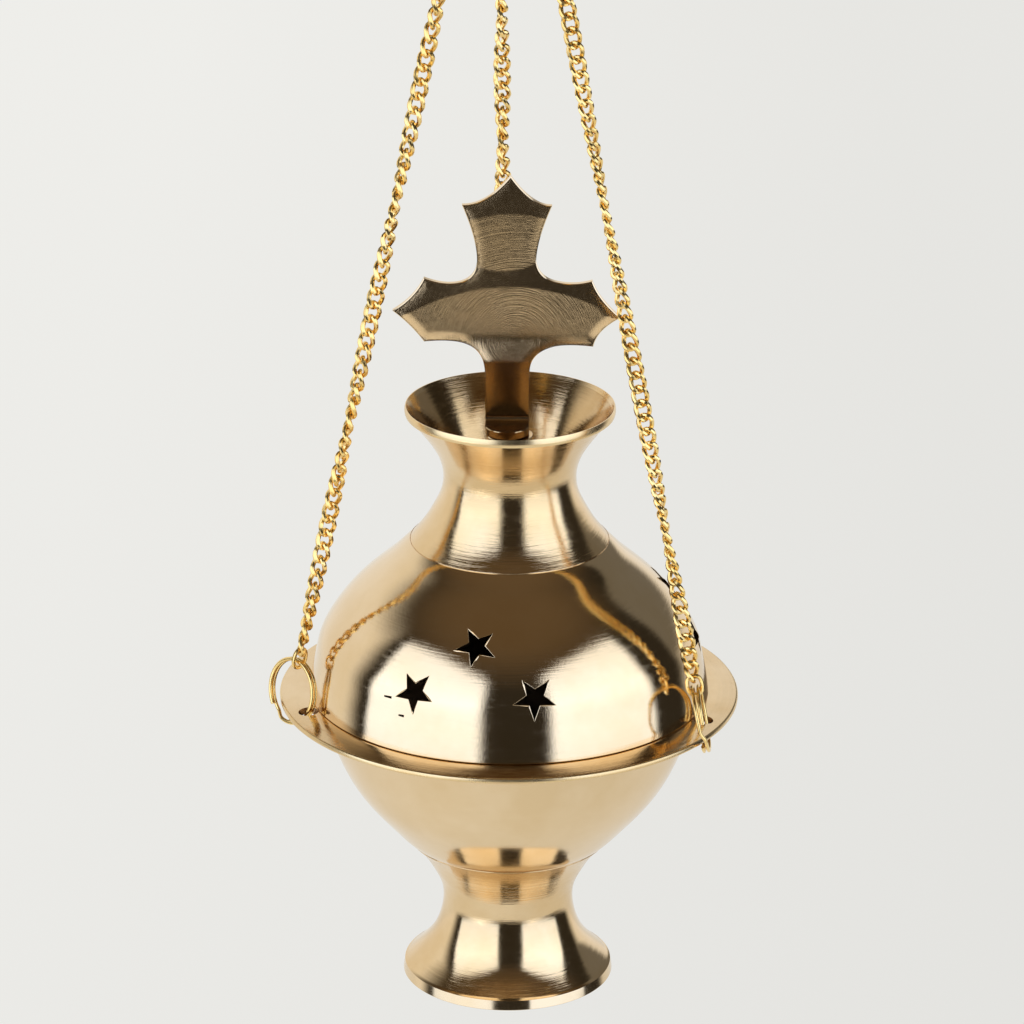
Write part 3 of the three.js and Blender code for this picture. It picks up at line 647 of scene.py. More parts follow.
# Painted shade for the walls of the holes and star cuts
hole_shade_brass = brass("hole_shade_brass", HOLE_SHADE, 0.3)


# Bowl and foot

bowl_outside = smooth_run(BOWL_STATIONS)
bowl_inside = shifted(bowl_outside, BOWL_SHEET)


def flange_rise(radius):
    """How far the flange stands above flat: level at the lid and falling towards its edge."""
    return FLANGE_LIFT - FLANGE_FALL * max(radius - FLANGE_TURN, 0)


def make_bowl():
    """Spun cup with a wide flange, drilled for the split rings."""
    mouth = BOWL_RADIUS - BOWL_SHEET
    rim = FLANGE_RADIUS - FLANGE_EDGE_ROUND
    outline = [(0, BOWL_SHEET + BOWL_STATIONS[-1][1])]
    outline += [point for point in bowl_inside[::-1] if point[0] > 0.6 and point[1] < -0.9]
    outline += rounded((mouth + BOWL_MOUTH_ROUND, -0.2), BOWL_MOUTH_ROUND, 180, 90)
    outline += [(mouth + 1.6 + step, 0.0) for step in range(7)]
    outline += rounded((rim, -FLANGE_EDGE_ROUND), FLANGE_EDGE_ROUND, 90, 0)
    outline += rounded((rim, FLANGE_EDGE_ROUND - FLANGE_THICK), FLANGE_EDGE_ROUND, 0, -90)
    outline += [(FLANGE_RADIUS - 1.5 - step * 1.6, -FLANGE_THICK) for step in range(4)]
    outline = [(r, z + flange_rise(r) if r > mouth + 1 else z) for r, z in outline]
    outline += bowl_outside
    bowl = turned("bowl_shell", outline, bowl_brass)
    cutters = []
    for azimuth, _ in CHAINS.values():
        a = math.radians(azimuth)
        x, y = HOLE_CIRCLE_RADIUS * math.cos(a), HOLE_CIRCLE_RADIUS * math.sin(a)
        ends = []
        for z in (-3.0, 2.0):
            radius = HOLE_RADIUS + HOLE_TAPER * z
            turns = [2 * math.pi * k / HOLE_SIDES for k in range(HOLE_SIDES)]
            ends.append([(x + radius * math.cos(t), y + radius * math.sin(t), z) for t in turns])
        cutters.append(prism("drill", *ends, bowl_brass))
    cut(bowl, cutters)
    refinish(bowl, flange_brass, lambda centre, outward, rise: centre.z > -0.6 and rise > 0.5)
    refinish(bowl, rim_brass, lambda centre, outward, rise: (
        outward > 0 and centre.xy.length > FLANGE_RADIUS - 0.4))
    # Painted shade: the walls of the drilled holes are coloured dark brown
    refinish(bowl, hole_shade_brass, lambda centre, outward, rise: centre.z > -1.5 and (
        abs(rise) < 0.5 and abs(centre.xy.length - HOLE_CIRCLE_RADIUS) < HOLE_RADIUS + SEAM))
    # Painted shade: the bowl's inner walls and inner floor take the dark brown brass
    refinish(bowl, inside_shade_brass, lambda centre, outward, rise: centre.z < -1.0 and (
        outward < 0 or (rise > 0.9 and centre.z < -30)))
    dress(bowl, "bowl", "polished_brass", "bowl")


def make_foot():
    """Turned trumpet with a groove at the bowl and a low band round its rim."""
    outside = smooth_run(FOOT_STATIONS, 0.5)
    inside = [p for p in shifted(outside, FOOT_WALL)[::-1] if p[1] < -36.2]
    band_top = FOOT_RIM_HEIGHT + FOOT_RIM_BAND
    outline = list(outside)
    edge = FOOT_RIM_RADIUS - FOOT_RIM_ROUND
    outline += rounded((edge - FOOT_RIM_TAPER, band_top - FOOT_RIM_ROUND), FOOT_RIM_ROUND, 70, 0, 3)
    outline += rounded((edge, FOOT_RIM_HEIGHT + FOOT_RIM_ROUND), FOOT_RIM_ROUND, 0, -90, 3)
    outline += [(FOOT_RIM_RADIUS - 2.0, FOOT_RIM_HEIGHT)]
    outline += inside
    outline += [(20.7, -35.75)]
    outline += rounded((FOOT_STATIONS[0][0] - SEAM_BEAD, FOOT_STATIONS[0][1]), SEAM_BEAD, 120, -30)
    foot = turned("foot_trumpet", outline, foot_brass)
    refinish(foot, edge_brass, lambda centre, outward, rise: centre.z < band_top and outward > 0)
    refinish(foot, turned_brass, lambda centre, outward, rise: (
        centre.z > FOOT_STREAKS_LOW and outward > 0))
    dress(foot, "bowl", "turned_brass", "foot")


# Lid

dome_outside = smooth_run(DOME_STATIONS)


def star_outline(turn, rng):
    """Corners of a hand-cut five-pointed star with one point down."""
    corners = []
    for i in range(10):
        radius = (STAR_TIP if i % 2 == 0 else STAR_INNER) * rng.uniform(0.95, 1.05)
        angle = math.radians(-90 + turn + 36 * i + rng.uniform(-2, 2))
        corners.append((radius * math.cos(angle), radius * math.sin(angle)))
    return corners


def skin_frame(azimuth, height):
    """A frame on the dome's skin: X across, Y up the skin, Z out."""
    r, z, (dr, dz) = at_height(dome_outside, height)
    a = math.radians(azimuth)
    around = Vector((-math.sin(a), math.cos(a), 0))
    out = Vector((math.cos(a) * dz, math.sin(a) * dz, -dr))
    up_skin = Vector((math.cos(a) * dr, math.sin(a) * dr, dz))
    place = Matrix((around, up_skin, out)).transposed().to_4x4()
    place.translation = Vector((r * math.cos(a), r * math.sin(a), z))
    return place


def on_dome(place, x, y, lift=0.0):
    """The point of the dome's skin above or below a frame's point, along the frame's Z."""
    point = place @ Vector((x, y, 0))
    way = place.to_3x3() @ Vector((0, 0, 1))
    for _ in range(6):
        radius, _, slope = at_height(dome_outside, min(max(point.z, 1.0), 38.0))
        miss = (math.hypot(point.x, point.y) - radius) * slope[1]
        point = point - way * miss
    return point + way * lift


def skin_cutter(name, corners, place):
    """A cutter through the dome's skin, with its corners across and up a frame."""
    ends = []
    for z in (-STAR_CUT_DEPTH, STAR_CUT_DEPTH):
        ends.append([place @ Vector((x, y, z)) for x, y in corners])
    return prism(name, *ends, dome_brass)


def facing(centre, outward, rise):
    """How far a face of the dome looks out, from -1 on the inside to 1 on the skin."""
    _, _, (dr, dz) = at_height(dome_outside, min(max(centre.z, 1.0), 38.0))
    return outward / max(centre.xy.length, 0.1) * dz - rise * dr


def make_dome():
    """Spun shell, pierced with stars; each star's edge has a bright burr."""
    inside = shifted(dome_outside, DOME_SHEET)
    outline = list(dome_outside[::-1])
    edge_radius, edge_height = DOME_STATIONS[0]
    outline += rounded((edge_radius - DOME_LIP, edge_height - 0.02), DOME_LIP, 0, -90, 4)
    outline += [(REGISTER_RADIUS, edge_height - 0.02 - DOME_LIP), (REGISTER_RADIUS, -REGISTER_DEPTH)]
    outline += [(REGISTER_RADIUS - REGISTER_WALL, height) for height in (-REGISTER_DEPTH, 1.5)]
    outline += [p for p in inside if 1.9 < p[1] and p[0] > 0.6]
    outline += [(0, DOME_STATIONS[-1][1] - DOME_SHEET)]
    outline = outline[::-1]
    dome = turned("lid_shell", outline, dome_brass)
    rng = random.Random(7)
    cutters = []
    burrs = []
    for cluster in STAR_CLUSTERS:
        for azimuth, height, turn in cluster:
            place = skin_frame(azimuth, height)
            corners = star_outline(turn, rng)
            cutters.append(skin_cutter("star_cut", corners, place))
            path = []
            for (x0, y0), (x1, y1) in zip(corners, corners[1:] + corners[:1]):
                for step in range(6):
                    s = step / 6
                    path.append(on_dome(place, x0 + s * (x1 - x0), y0 + s * (y1 - y0), -STAR_BURR / 3))
            out = place.to_3x3() @ Vector((0, 0, 1))
            phase = rng.uniform(0, 2 * math.pi)
            waves = [max(math.sin(0.42 * k + phase), 0) for k in range(len(path))]
            swell = [1 + STAR_BURR_SWELL * wave ** 3 for wave in waves]
            burrs.append(tube(path, 6, STAR_BURR, STAR_BURR, [out] * len(path), True, swell))
    place = skin_frame(*STAR_CLUSTERS[0][1][:2])
    for x, y, length in SAW_NICKS:
        corners = [(x - length / 2, y - 0.22), (x + length / 2, y - 0.3), (x + length / 2, y + 0.25),
                   (x - length / 2, y + 0.15)]
        cutters.append(skin_cutter("nick_cut", corners, place))
    cut(dome, cutters)
    # Painted shade: the lid's inner skin takes the dark brown brass
    refinish(dome, inside_shade_brass, lambda centre, outward, rise: (
        centre.z > 1.6 and facing(centre, outward, rise) < -0.4))
    # Painted shade: the cut walls of the stars and saw nicks are coloured dark brown
    refinish(dome, hole_shade_brass, lambda centre, outward, rise: (
        centre.z > 1.6 and abs(facing(centre, outward, rise)) < 0.4))
    points, faces = merged(burrs)
    edges = make_object("star_edges", points, faces, edge_brass)
    return join([dome, edges], "lid_shell")


def make_neck():
    """Turned trumpet with a rim, a floor and the boss that carries the cross."""
    outside = smooth_run(NECK_STATIONS, 0.5)
    inside = smooth_run(CUP_STATIONS, 0.5)
    skirt = [p for p in shifted(outside, NECK_WALL) if 36.2 < p[1] < 48.8]
    band_low = NECK_RIM_HEIGHT - NECK_RIM_BAND
    outline = list(outside)
    bulge = NECK_RIM_BAND / 2 / math.sin(math.radians(NECK_RIM_BULGE))
    middle = (NECK_RIM_RADIUS - bulge, NECK_RIM_HEIGHT - NECK_RIM_BAND / 2)
    outline += rounded(middle, bulge, -NECK_RIM_BULGE, NECK_RIM_BULGE, 12)
    outline += inside[::-1]
    outline += [(12.0, NECK_FLOOR), (BOSS_RADIUS + BOSS_FILLET, NECK_FLOOR)]
    outline += [(BOSS_RADIUS, NECK_FLOOR + BOSS_FILLET), (BOSS_RADIUS, BOSS_TOP - BOSS_EDGE)]
    outline += [(BOSS_RADIUS - BOSS_EDGE, BOSS_TOP), (BOSS_BORE, BOSS_TOP)]
    outline += [(BOSS_BORE, NECK_FLOOR - NECK_FLOOR_THICK), (13.0, NECK_FLOOR - NECK_FLOOR_THICK)]
    outline += skirt[::-1]
    outline += [(20.3, 35.6)]
    outline += rounded((NECK_STATIONS[0][0] - SEAM_BEAD, NECK_STATIONS[0][1]), SEAM_BEAD, -120, 30)
    neck = turned("lid_neck", outline, turned_brass)
    refinish(neck, rim_brass, lambda centre, outward, rise: centre.z > band_low + 0.05 and outward > 0)
    # Painted shade: the cup's inner wall, its floor and the boss's top are coloured darker
    refinish(neck, cup_shade_brass, lambda centre, outward, rise: centre.z > NECK_FLOOR - 0.5 and (
        outward < 0 or rise > 0.9) and centre.xy.length < NECK_RIM_RADIUS - 1.0)
    dress(neck, "lid", "turned_brass", "neck")


def quadratic(start, bend, end):
    """Points of a quadratic curve after its start."""
    points = []
    for i in range(1, CROSS_CURVE_STEPS + 1):
        t = i / CROSS_CURVE_STEPS
        points.append(tuple(
            (1 - t) ** 2 * s + 2 * t * (1 - t) * b + t ** 2 * e for s, b, e in zip(start, bend, end)
        ))
    return points


def cross_outline(low):
    """Outline of the cross, as (across, up), anticlockwise from the stem's lower right."""
    sides = []
    for x, curves in ((STEM_RIGHT, CROSS_RIGHT), (STEM_LEFT, CROSS_LEFT)):
        side = [(x, low)]
        for bend, end in curves:
            side += quadratic(side[-1], bend, end)
        sides.append(side)
    return sides[0] + sides[1][-2::-1]


def inset(outline, depth):
    """The outline moved in by a depth, mitred."""
    moved = []
    count = len(outline)
    for i, (x, z) in enumerate(outline):
        before = Vector(outline[i - 1])
        after = Vector(outline[(i + 1) % count])
        here = Vector((x, z))
        a = (here - before).normalized()
        b = (after - here).normalized()
        normal = Vector((-(a.y + b.y), a.x + b.x))
        scale = depth / max(0.35, normal.length / 2) / max(normal.length, 1e-6)
        moved.append(tuple(here + normal * scale))
    return moved


def inside_of(outline, xs, zs):
    """Which of the points lie inside the outline."""
    crossed = np.zeros(len(xs), dtype=bool)
    for (x0, z0), (x1, z1) in zip(outline, outline[1:] + outline[:1]):
        if z0 != z1:
            spans = (z0 > zs) != (z1 > zs)
            crossed ^= spans & (xs < (x1 - x0) * (zs - z0) / (z1 - z0) + x0)
    return crossed


def edge_distance(outline, xs, zs):
    """Distance of each point from the outline, and the way out from it."""
    best = np.full(len(xs), np.inf)
    way = np.zeros((len(xs), 2))
    for (x0, z0), (x1, z1) in zip(outline, outline[1:] + outline[:1]):
        dx, dz = x1 - x0, z1 - z0
        share = np.clip(((xs - x0) * dx + (zs - z0) * dz) / max(dx * dx + dz * dz, 1e-9), 0, 1)
        gap_x, gap_z = x0 + share * dx - xs, z0 + share * dz - zs
        gap = np.hypot(gap_x, gap_z)
        nearer = gap < best
        best = np.where(nearer, gap, best)
        way[nearer] = np.stack([gap_x, gap_z], 1)[nearer] / np.maximum(gap, 1e-6)[nearer, None]
    return best, way


def step_up(value, middle, width):
    """A smooth step from 0 to 1 round a middle."""
    share = np.clip((value - middle) / width + 0.5, 0, 1)
    return share * share * (3 - 2 * share)


def face_tilt(x, z):
    """How far the polished face leans back, as a slope: polishing left it in shallow steps."""
    head_low = 94.1 + 0.03 * (x + 1) ** 2 + 0.05 * (x + 0.8)
    head_high = 107.3 - 0.02 * x ** 2
    arms_high = 91.1 - 0.0125 * x ** 2
    leaning = step_up(z, arms_high, 0.9) - step_up(z, head_low, 1.0) + step_up(z, head_high, 1.0)
    return FACE_LEAN_DOWN + (FACE_LEAN_BACK - FACE_LEAN_DOWN) * leaning


def stem_share(z):
    """1 on the upper part of the stem, where the polish also turned the face to one side."""
    return (1 - step_up(z, STEM_FACE_HIGH, 2.6)) * step_up(z, STEM_FACE_LOW, 0.8)


def cross_face(outline):
    """Front face as a fine mesh inside its outline, with the normals of the polished face."""
    corners = np.array(outline)
    low, high = corners.min(0), corners.max(0)
    xs, zs = np.meshgrid(*(np.arange(low[i], high[i], CROSS_GRID) for i in (0, 1)))
    xs, zs = xs.ravel(), zs.ravel()
    keep = inside_of(outline, xs, zs)
    xs, zs = xs[keep], zs[keep]
    keep = edge_distance(outline, xs, zs)[0] > CROSS_GRID * 0.6
    flat = [Vector(c) for c in outline] + [Vector(c) for c in zip(xs[keep], zs[keep])]
    count = len(outline)
    edges = [(i, (i + 1) % count) for i in range(count)]
    flat, _, faces, _, _, _ = delaunay_2d_cdt(flat, edges, [list(range(count))], 1, 1e-5)
    x, z = np.array([v.x for v in flat]), np.array([v.y for v in flat])
    gap, way = edge_distance(outline, x, z)
    roll = np.clip(1 - gap / CROSS_ROLL_WIDTH, 0, 1)
    depth = CROSS_BACK + CROSS_ROLL * roll ** 2
    slope = 2 * CROSS_ROLL / CROSS_ROLL_WIDTH * roll
    stem = stem_share(z)
    lean = face_tilt(x, z) * (1 - stem) + STEM_LEAN_BACK * stem
    side = STEM_LEAN_SIDE * stem
    normals = np.stack([way[:, 0] * slope + side, -np.ones(len(x)), way[:, 1] * slope + lean], 1)
    normals /= np.linalg.norm(normals, axis=1)[:, None]
    points = [(a, b, c) for a, b, c in zip(x, depth, z)]
    return points, [list(f) for f in faces], [tuple(n) for n in normals]


def make_cross():
    """Sawn plate with filed edges and a polished face; its foot is bent into a round tab."""
    tab_bottom = BOSS_TOP + TAB_GAP
    tab_top = tab_bottom + CROSS_PLATE
    low = tab_top + CROSS_BEND_RADIUS
    outline = cross_outline(low)
    small = inset(outline, CROSS_EDGE)
    points, faces, normals = cross_face(small)
    face = make_object("cross_face", points, faces, plate_brass)
    face.data.normals_split_custom_set_from_vertices(normals)
    front = CROSS_BACK + CROSS_ROLL
    back = CROSS_BACK + CROSS_PLATE
    layers = [(small, front), (outline, front + CROSS_EDGE), (outline, back - CROSS_EDGE), (small, back)]
    points = [(x, y, z) for layer, y in layers for x, z in layer]
    n = len(outline)
    faces = [list(range(3 * n, 4 * n))[::-1]]
    for step in range(3):
        for k in range(n):
            m = (k + 1) % n
            faces.append([step * n + m, step * n + k, (step + 1) * n + k, (step + 1) * n + m])
    rim = make_object("cross_rim", points, faces, edge_brass, sharp=20.0)
    tab = make_tab(low, tab_bottom, tab_top)
    cross = join([face, rim, tab], "cross_plate")
    # Painted shade: the stem and tab below the face's own zone are coloured darker
    refinish(cross, stem_shade_brass, lambda centre, outward, rise: centre.z < STEM_FACE_LOW)
    dress(cross, "lid", "brushed_brass", "cross")


def make_tab(low, tab_bottom, tab_top):
    """The bent foot of the cross, as sections from the stem to the tab's round end."""
    centre = (CROSS_BACK - CROSS_BEND_RADIUS, low)
    middle = (STEM_LEFT + STEM_RIGHT) / 2
    half = (STEM_RIGHT - STEM_LEFT) / 2
    sections = []
    for step in range(10):
        a = math.radians(-90 * step / 9)
        reach = [CROSS_BEND_RADIUS, CROSS_BEND_RADIUS + CROSS_PLATE]
        inner, outer = [(centre[0] + r * math.cos(a), centre[1] + r * math.sin(a)) for r in reach]
        sections.append((inner, outer, half))
    for step in range(1, 33):
        share = math.sin(math.pi / 2 * step / 32)
        y = centre[0] + share * (-half - centre[0])
        width = half if y >= 0 else math.sqrt(max(half ** 2 - y ** 2, 0))
        sections.append(((y, tab_top), (y, tab_bottom), max(width, 0.3)))
    points = []
    for inner, outer, width in sections:
        e = min(CROSS_EDGE, width / 2)
        way = Vector((outer[0] - inner[0], outer[1] - inner[1])).normalized()
        for x, (y, z), shift in (
            (width - e, inner, 0), (width, inner, e), (width, outer, -e), (width - e, outer, 0),
            (e - width, outer, 0), (-width, outer, -e), (-width, inner, e), (e - width, inner, 0),
        ):
            points.append((middle + x, y + way.x * shift, z + way.y * shift))
    return make_object("cross_tab", points, row_faces(len(sections), 8), plate_brass, sharp=20.0)


# Chains and rings

ring_radius = (RING_DIAMETER - RING_THICK) / 2
top_ring_radius = (TOP_RING_DIAMETER - TOP_RING_THICK) / 2
ring_band = RING_PITCH + RING_WIDTH
top_ring_band = TOP_RING_PITCH + TOP_RING_WIDTH


def band_stand_off(band):
    """How far a flat band stands off the round end of the link that is hooked over it."""
    end_radius = band / 2 + SEAM
    return end_radius - math.sqrt(end_radius ** 2 - (band / 2) ** 2) + SEAM


def top_contact(offset, pivot):
    """Where a chain's last link and the link on the upper ring are."""
    lean = math.asin(offset / top_ring_radius)
    ring_wire = Vector((
        TOP_RING_OFFSET + offset, 0, TOP_RING_HEIGHT - top_ring_radius * math.cos(lean),
    ))
    run = Vector((math.cos(lean), 0, math.sin(lean)))
    axis = (ring_wire - pivot).normalized()
    tilt = TOP_LINK_WIRE * abs(run.dot(axis)) + top_ring_band / 2 * abs(axis.y)
    opening_top = TOP_RING_THICK / 2 + tilt + band_stand_off(top_ring_band)
    opening_bottom = opening_top - TOP_LINK_OPENING
    link_centre = ring_wire + axis * (opening_top + opening_bottom) / 2
    wire_centre = ring_wire + axis * (opening_bottom + TOP_LINK_PLAY + LINK_CAD_WIRE / 2)
    return axis, link_centre, wire_centre


def split_ring(radius, thick, wide, pitch, jog_angle, spread=0.0):
    """Two turns of flat wire side by side, with one step between them. A spread opens the
    turns on the side away from the step."""
    path = []
    normals = []
    jog = math.radians(24)
    steps = 200
    for i in range(steps + 1):
        turn = jog + i / steps * (4 * math.pi - 2 * jog)
        share = min(max((turn - 2 * math.pi + jog / 2) / jog, 0), 1)
        side = share * share * (3 - 2 * share) - 0.5
        angle = math.radians(jog_angle) + turn
        gap = pitch + spread * math.sin(turn / 2) ** 2
        out = Vector((math.cos(angle), math.sin(angle), 0))
        path.append(out * (radius - 0.04 * thick) + Vector((0, 0, gap * side)))
        normals.append(out)
    return tube(path, 12, thick * 1.08, wide * 1.12, normals, False)


def oval(half_width, half_length, squareness, steps, twist=0.0):
    """Closed path of a rounded oval, long along Z, with its ends twisted opposite ways. The
    second list gives the direction square to the loop at each point."""
    path = []
    sides = []
    for i in range(steps):
        t = 2 * math.pi * (i + 0.5) / steps
        c, s = math.cos(t), math.sin(t)
        x = half_width * math.copysign(abs(c) ** (2 / squareness), c)
        z = half_length * math.copysign(abs(s) ** (2 / squareness), s)
        a = math.radians(twist) / 2 * z / half_length
        path.append(Vector((x * math.cos(a), x * math.sin(a), z)))
        sides.append(Vector((-math.sin(a), math.cos(a), 0)))
    return path, sides


def wire_loop(path, sides, wire, place, rim=8):
    """A closed loop of round wire at a place, with a count of sides round the wire."""
    points, faces = tube(path, rim, wire, wire, sides, True)
    return [place @ p for p in points], faces


def add_wire(name, shape, body, node):
    """A piece of chain brass, from its points and faces, that stands for a CAD node."""
    dress(make_object(name, *shape, wire_brass), body, "chain_brass", node)


def end_loop(band, opening, cad_wire, wire, place):
    """The plain link that hooks a chain on a ring, round a band with a clearance each side."""
    half_width = (band + 2 * SEAM + cad_wire) / 2
    path, sides = oval(half_width, (opening + cad_wire) / 2, 2.3, 36)
    return wire_loop(path, sides, wire, place, 10)


def folded_angle(start, finish, axis):
    """Signed angle about an axis, folded into a quarter turn each way."""
    a = (start - axis * start.dot(axis)).normalized()
    b = (finish - axis * finish.dot(axis)).normalized()
    angle = math.atan2(a.cross(b).dot(axis), a.dot(b))
    return angle - math.pi * round(angle / math.pi)


def make_chain(side, hole_azimuth, top_offset):
    """One chain from its split ring up to its link on the upper ring."""
    hole_turn = math.radians(hole_azimuth)
    hole = Vector((math.cos(hole_turn), math.sin(hole_turn), 0)) * HOLE_CIRCLE_RADIUS
    hole.z = -FLANGE_THICK / 2
    chord_turn = math.radians(hole_azimuth + RING_SKEW)
    chord = Vector((math.cos(chord_turn), math.sin(chord_turn), 0))
    pivot = hole + chord * RING_CHORD / 2
    axis, link_centre, wire_centre = top_contact(top_offset, pivot)
    rise = (axis - chord * axis.dot(chord)).normalized()
    ring_centre = pivot + rise * math.sqrt(ring_radius ** 2 - (RING_CHORD / 2) ** 2)
    along = (wire_centre - ring_centre).normalized()
    face = chord.cross(rise).normalized()

    jog_angle, spread = RING_LAYS[side]
    ring_place = frame_at(ring_centre, face, chord)
    points, faces = split_ring(
        ring_radius, RING_THICK, RING_WIDTH, RING_COIL_PITCH, jog_angle, spread,
    )
    ring = ([ring_place @ p for p in points], faces)
    add_wire(f"ring_coil_{side}", ring, f"chain_{side}_lower", f"split_ring_{side}")

    reach = (END_LINK_OPENING - RING_THICK) / 2 - band_stand_off(ring_band)
    end_centre = ring_centre + along * (ring_radius + reach)
    place = frame_at(end_centre, along, face)
    end_link = end_loop(ring_band, END_LINK_OPENING, END_LINK_WIRE, END_LINK_WIRE, place)
    add_wire(f"end_loop_{side}", end_link, f"chain_{side}_lower", f"end_link_{side}")

    opening = LINK_PITCH + LINK_GAP
    first = end_centre + along * (END_LINK_OPENING / 2 + opening / 2 - SEAM)
    last = wire_centre - along * (opening + LINK_CAD_WIRE) / 2
    run = (last - first).dot(along)
    slack = KNEE_GAP - LINK_GAP
    joints = round((run + slack) / LINK_PITCH)
    pitch = (run + slack) / joints
    start = Matrix.Rotation(math.radians(LINK_TWIST) / 2, 3, along) @ chord
    finish = Matrix.Rotation(-math.radians(LINK_TWIST) / 2, 3, along) @ Vector((1, 0, 0))
    half_turns, extra_low = RUN_TWISTS[side]
    turn = folded_angle(start, finish, along) + half_turns * math.pi
    path, sides = oval(
        (LINK_WIDTH - LINK_WIRE) / 2, (LINK_PITCH + LINK_WIRE) / 2, 2.35, 22, LINK_TWIST,
    )
    links = []
    for i in range(joints + 1):
        travel = i * pitch - (slack if i >= LOWER_RUN_LINKS else 0)
        share = i / joints
        angle = turn * share + math.radians(extra_low) * share * (1 - share) ** 3
        wide = Matrix.Rotation(angle, 3, along) @ start
        place = frame_at(first + along * travel, along, wide)
        links.append(wire_loop(path, sides, LINK_WIRE, place))
    for half, part in (("lower", links[:LOWER_RUN_LINKS]), ("upper", links[LOWER_RUN_LINKS:])):
        add_wire(f"links_{half}_{side}", merged(part), f"chain_{side}_{half}", f"chain_{half}_{side}")

    place = frame_at(link_centre, axis, Vector((0, 1, 0)))
    top_link = end_loop(top_ring_band, TOP_LINK_OPENING, TOP_LINK_WIRE, TOP_LOOP_WIRE, place)
    add_wire(f"top_loop_{side}", top_link, "top_links", f"top_link_{side}")


def make_top_ring():
    """The larger split ring that the censer hangs by, facing the front."""
    centre = Vector((TOP_RING_OFFSET, 0, TOP_RING_HEIGHT))
    place = frame_at(centre, Vector((0, -1, 0)), Vector((1, 0, 0)))
    points, faces = split_ring(
        top_ring_radius, TOP_RING_THICK, TOP_RING_WIDTH, TOP_RING_PITCH, TOP_RING_JOG,
    )
    add_wire("ring_coil_top", ([place @ p for p in points], faces), "top_ring", "top_ring")


make_bowl()
make_foot()
lid_shell = make_dome()
dress(lid_shell, "lid", "polished_brass", "lid_dome")
make_neck()
make_cross()
for chain_side, (chain_azimuth, chain_offset) in CHAINS.items():
    make_chain(chain_side, chain_azimuth, chain_offset)
make_top_ring()
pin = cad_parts["cross_pin"]
for pin_slot in pin.material_slots:
    pin_slot.material = plate_brass


# Studio: a pale floor and surroundings, a dark room in front, and two large softboxes


def make_floor():
    """A pale floor that takes the object's shadow and looks evenly lit to the camera."""
    mesh = bpy.data.meshes.new("floor")
    left, right, front, back = FLOOR_EDGES
    corners = [(left, front, 0), (right, front, 0), (right, back, 0), (left, back, 0)]
    mesh.from_pydata(corners, [], [(0, 1, 2, 3)])
    floor = bpy.data.objects.new("floor", mesh)
    floor.location = (0, 0, FLOOR_HEIGHT)
    bpy.context.scene.collection.objects.link(floor)
    material, tree = nodes_of("floor_paper")
    place = tree.nodes.new("ShaderNodeTexCoord").outputs["Object"]
    x, y, _ = add(tree, "ShaderNodeSeparateXYZ", Vector=place).outputs
    level = maths(tree, "MULTIPLY", remap(tree, x, *FLOOR_ACROSS), remap(tree, y, *FLOOR_AWAY))
    diffuse = add(tree, "ShaderNodeBsdfDiffuse", Color=(*PALE, 1))
    glow = add(tree, "ShaderNodeEmission", Color=(*PALE, 1), Strength=level)
    rays = tree.nodes.new("ShaderNodeLightPath").outputs
    direct = maths(tree, "MAXIMUM", rays["Is Camera Ray"], rays["Is Glossy Ray"])
    mix = tree.nodes.new("ShaderNodeMixShader")
    parts = (maths(tree, "MULTIPLY", direct, FLOOR_GLOW_SHARE), diffuse.outputs[0], glow.outputs[0])
    for socket, part in zip(mix.inputs, parts):
        plug(tree, socket, part)
    add(tree, "ShaderNodeOutputMaterial", Surface=mix.outputs[0])
    mesh.materials.append(material)


def smooth_between(tree, value, low, high):
    return remap(tree, value, low, high, curve="SMOOTHSTEP")


def cosines(degrees):
    return [math.cos(math.radians(angle)) for angle in degrees]


def sines(degrees):
    return [math.sin(math.radians(angle)) for angle in degrees]


def make_world():
    """Pale all round for the camera. In reflections it is pale at the back and sides, and
    dark in front, above and at a screen behind on the right, as in a room with the lamps
    turned to the object."""
    world = bpy.data.worlds.new("studio")
    bpy.context.scene.world = world
    world.use_nodes = True
    tree = world.node_tree
    tree.nodes.clear()
    way = tree.nodes.new("ShaderNodeTexCoord").outputs["Generated"]
    x, y, z = add(tree, "ShaderNodeSeparateXYZ", Vector=way).outputs
    flat = maths(tree, "MAXIMUM", flat_length(tree, x, y), 1e-4)
    middle = math.radians(ROOM_AZIMUTH)
    parts = [maths(tree, "MULTIPLY", x, math.sin(middle)), maths(tree, "MULTIPLY", y, -math.cos(middle))]
    forward = maths(tree, "ADD", *parts)
    in_front = smooth_between(tree, maths(tree, "DIVIDE", forward, flat), *cosines(ROOM_SIDES))
    overhead = smooth_between(tree, z, *sines(OVERHEAD))
    diagonal = maths(tree, "MULTIPLY", flat, math.sqrt(2))
    behind = maths(tree, "DIVIDE", maths(tree, "ADD", x, y), diagonal)
    screen = maths(
        tree, "MULTIPLY", smooth_between(tree, behind, *cosines(SCREEN_SIDES)),
        smooth_between(tree, z, *sines(SCREEN_RISE)),
    )
    screen = maths(tree, "MULTIPLY", screen, SCREEN_SHARE)
    dark = maths(tree, "MAXIMUM", maths(tree, "MAXIMUM", in_front, overhead), screen)
    top = smooth_between(tree, z, *sines(ROOM_TOP_RISE))
    room = mixed(tree, top, (*ROOM, 1), (*ROOM_TOP, 1))
    reflected = mixed(tree, dark, (*SURROUND, 1), room)
    rays = tree.nodes.new("ShaderNodeLightPath").outputs
    colour = mixed(tree, rays["Is Camera Ray"], reflected, (*PALE, 1))
    sky = add(tree, "ShaderNodeBackground", Color=colour)
    add(tree, "ShaderNodeOutputWorld", Surface=sky.outputs[0])


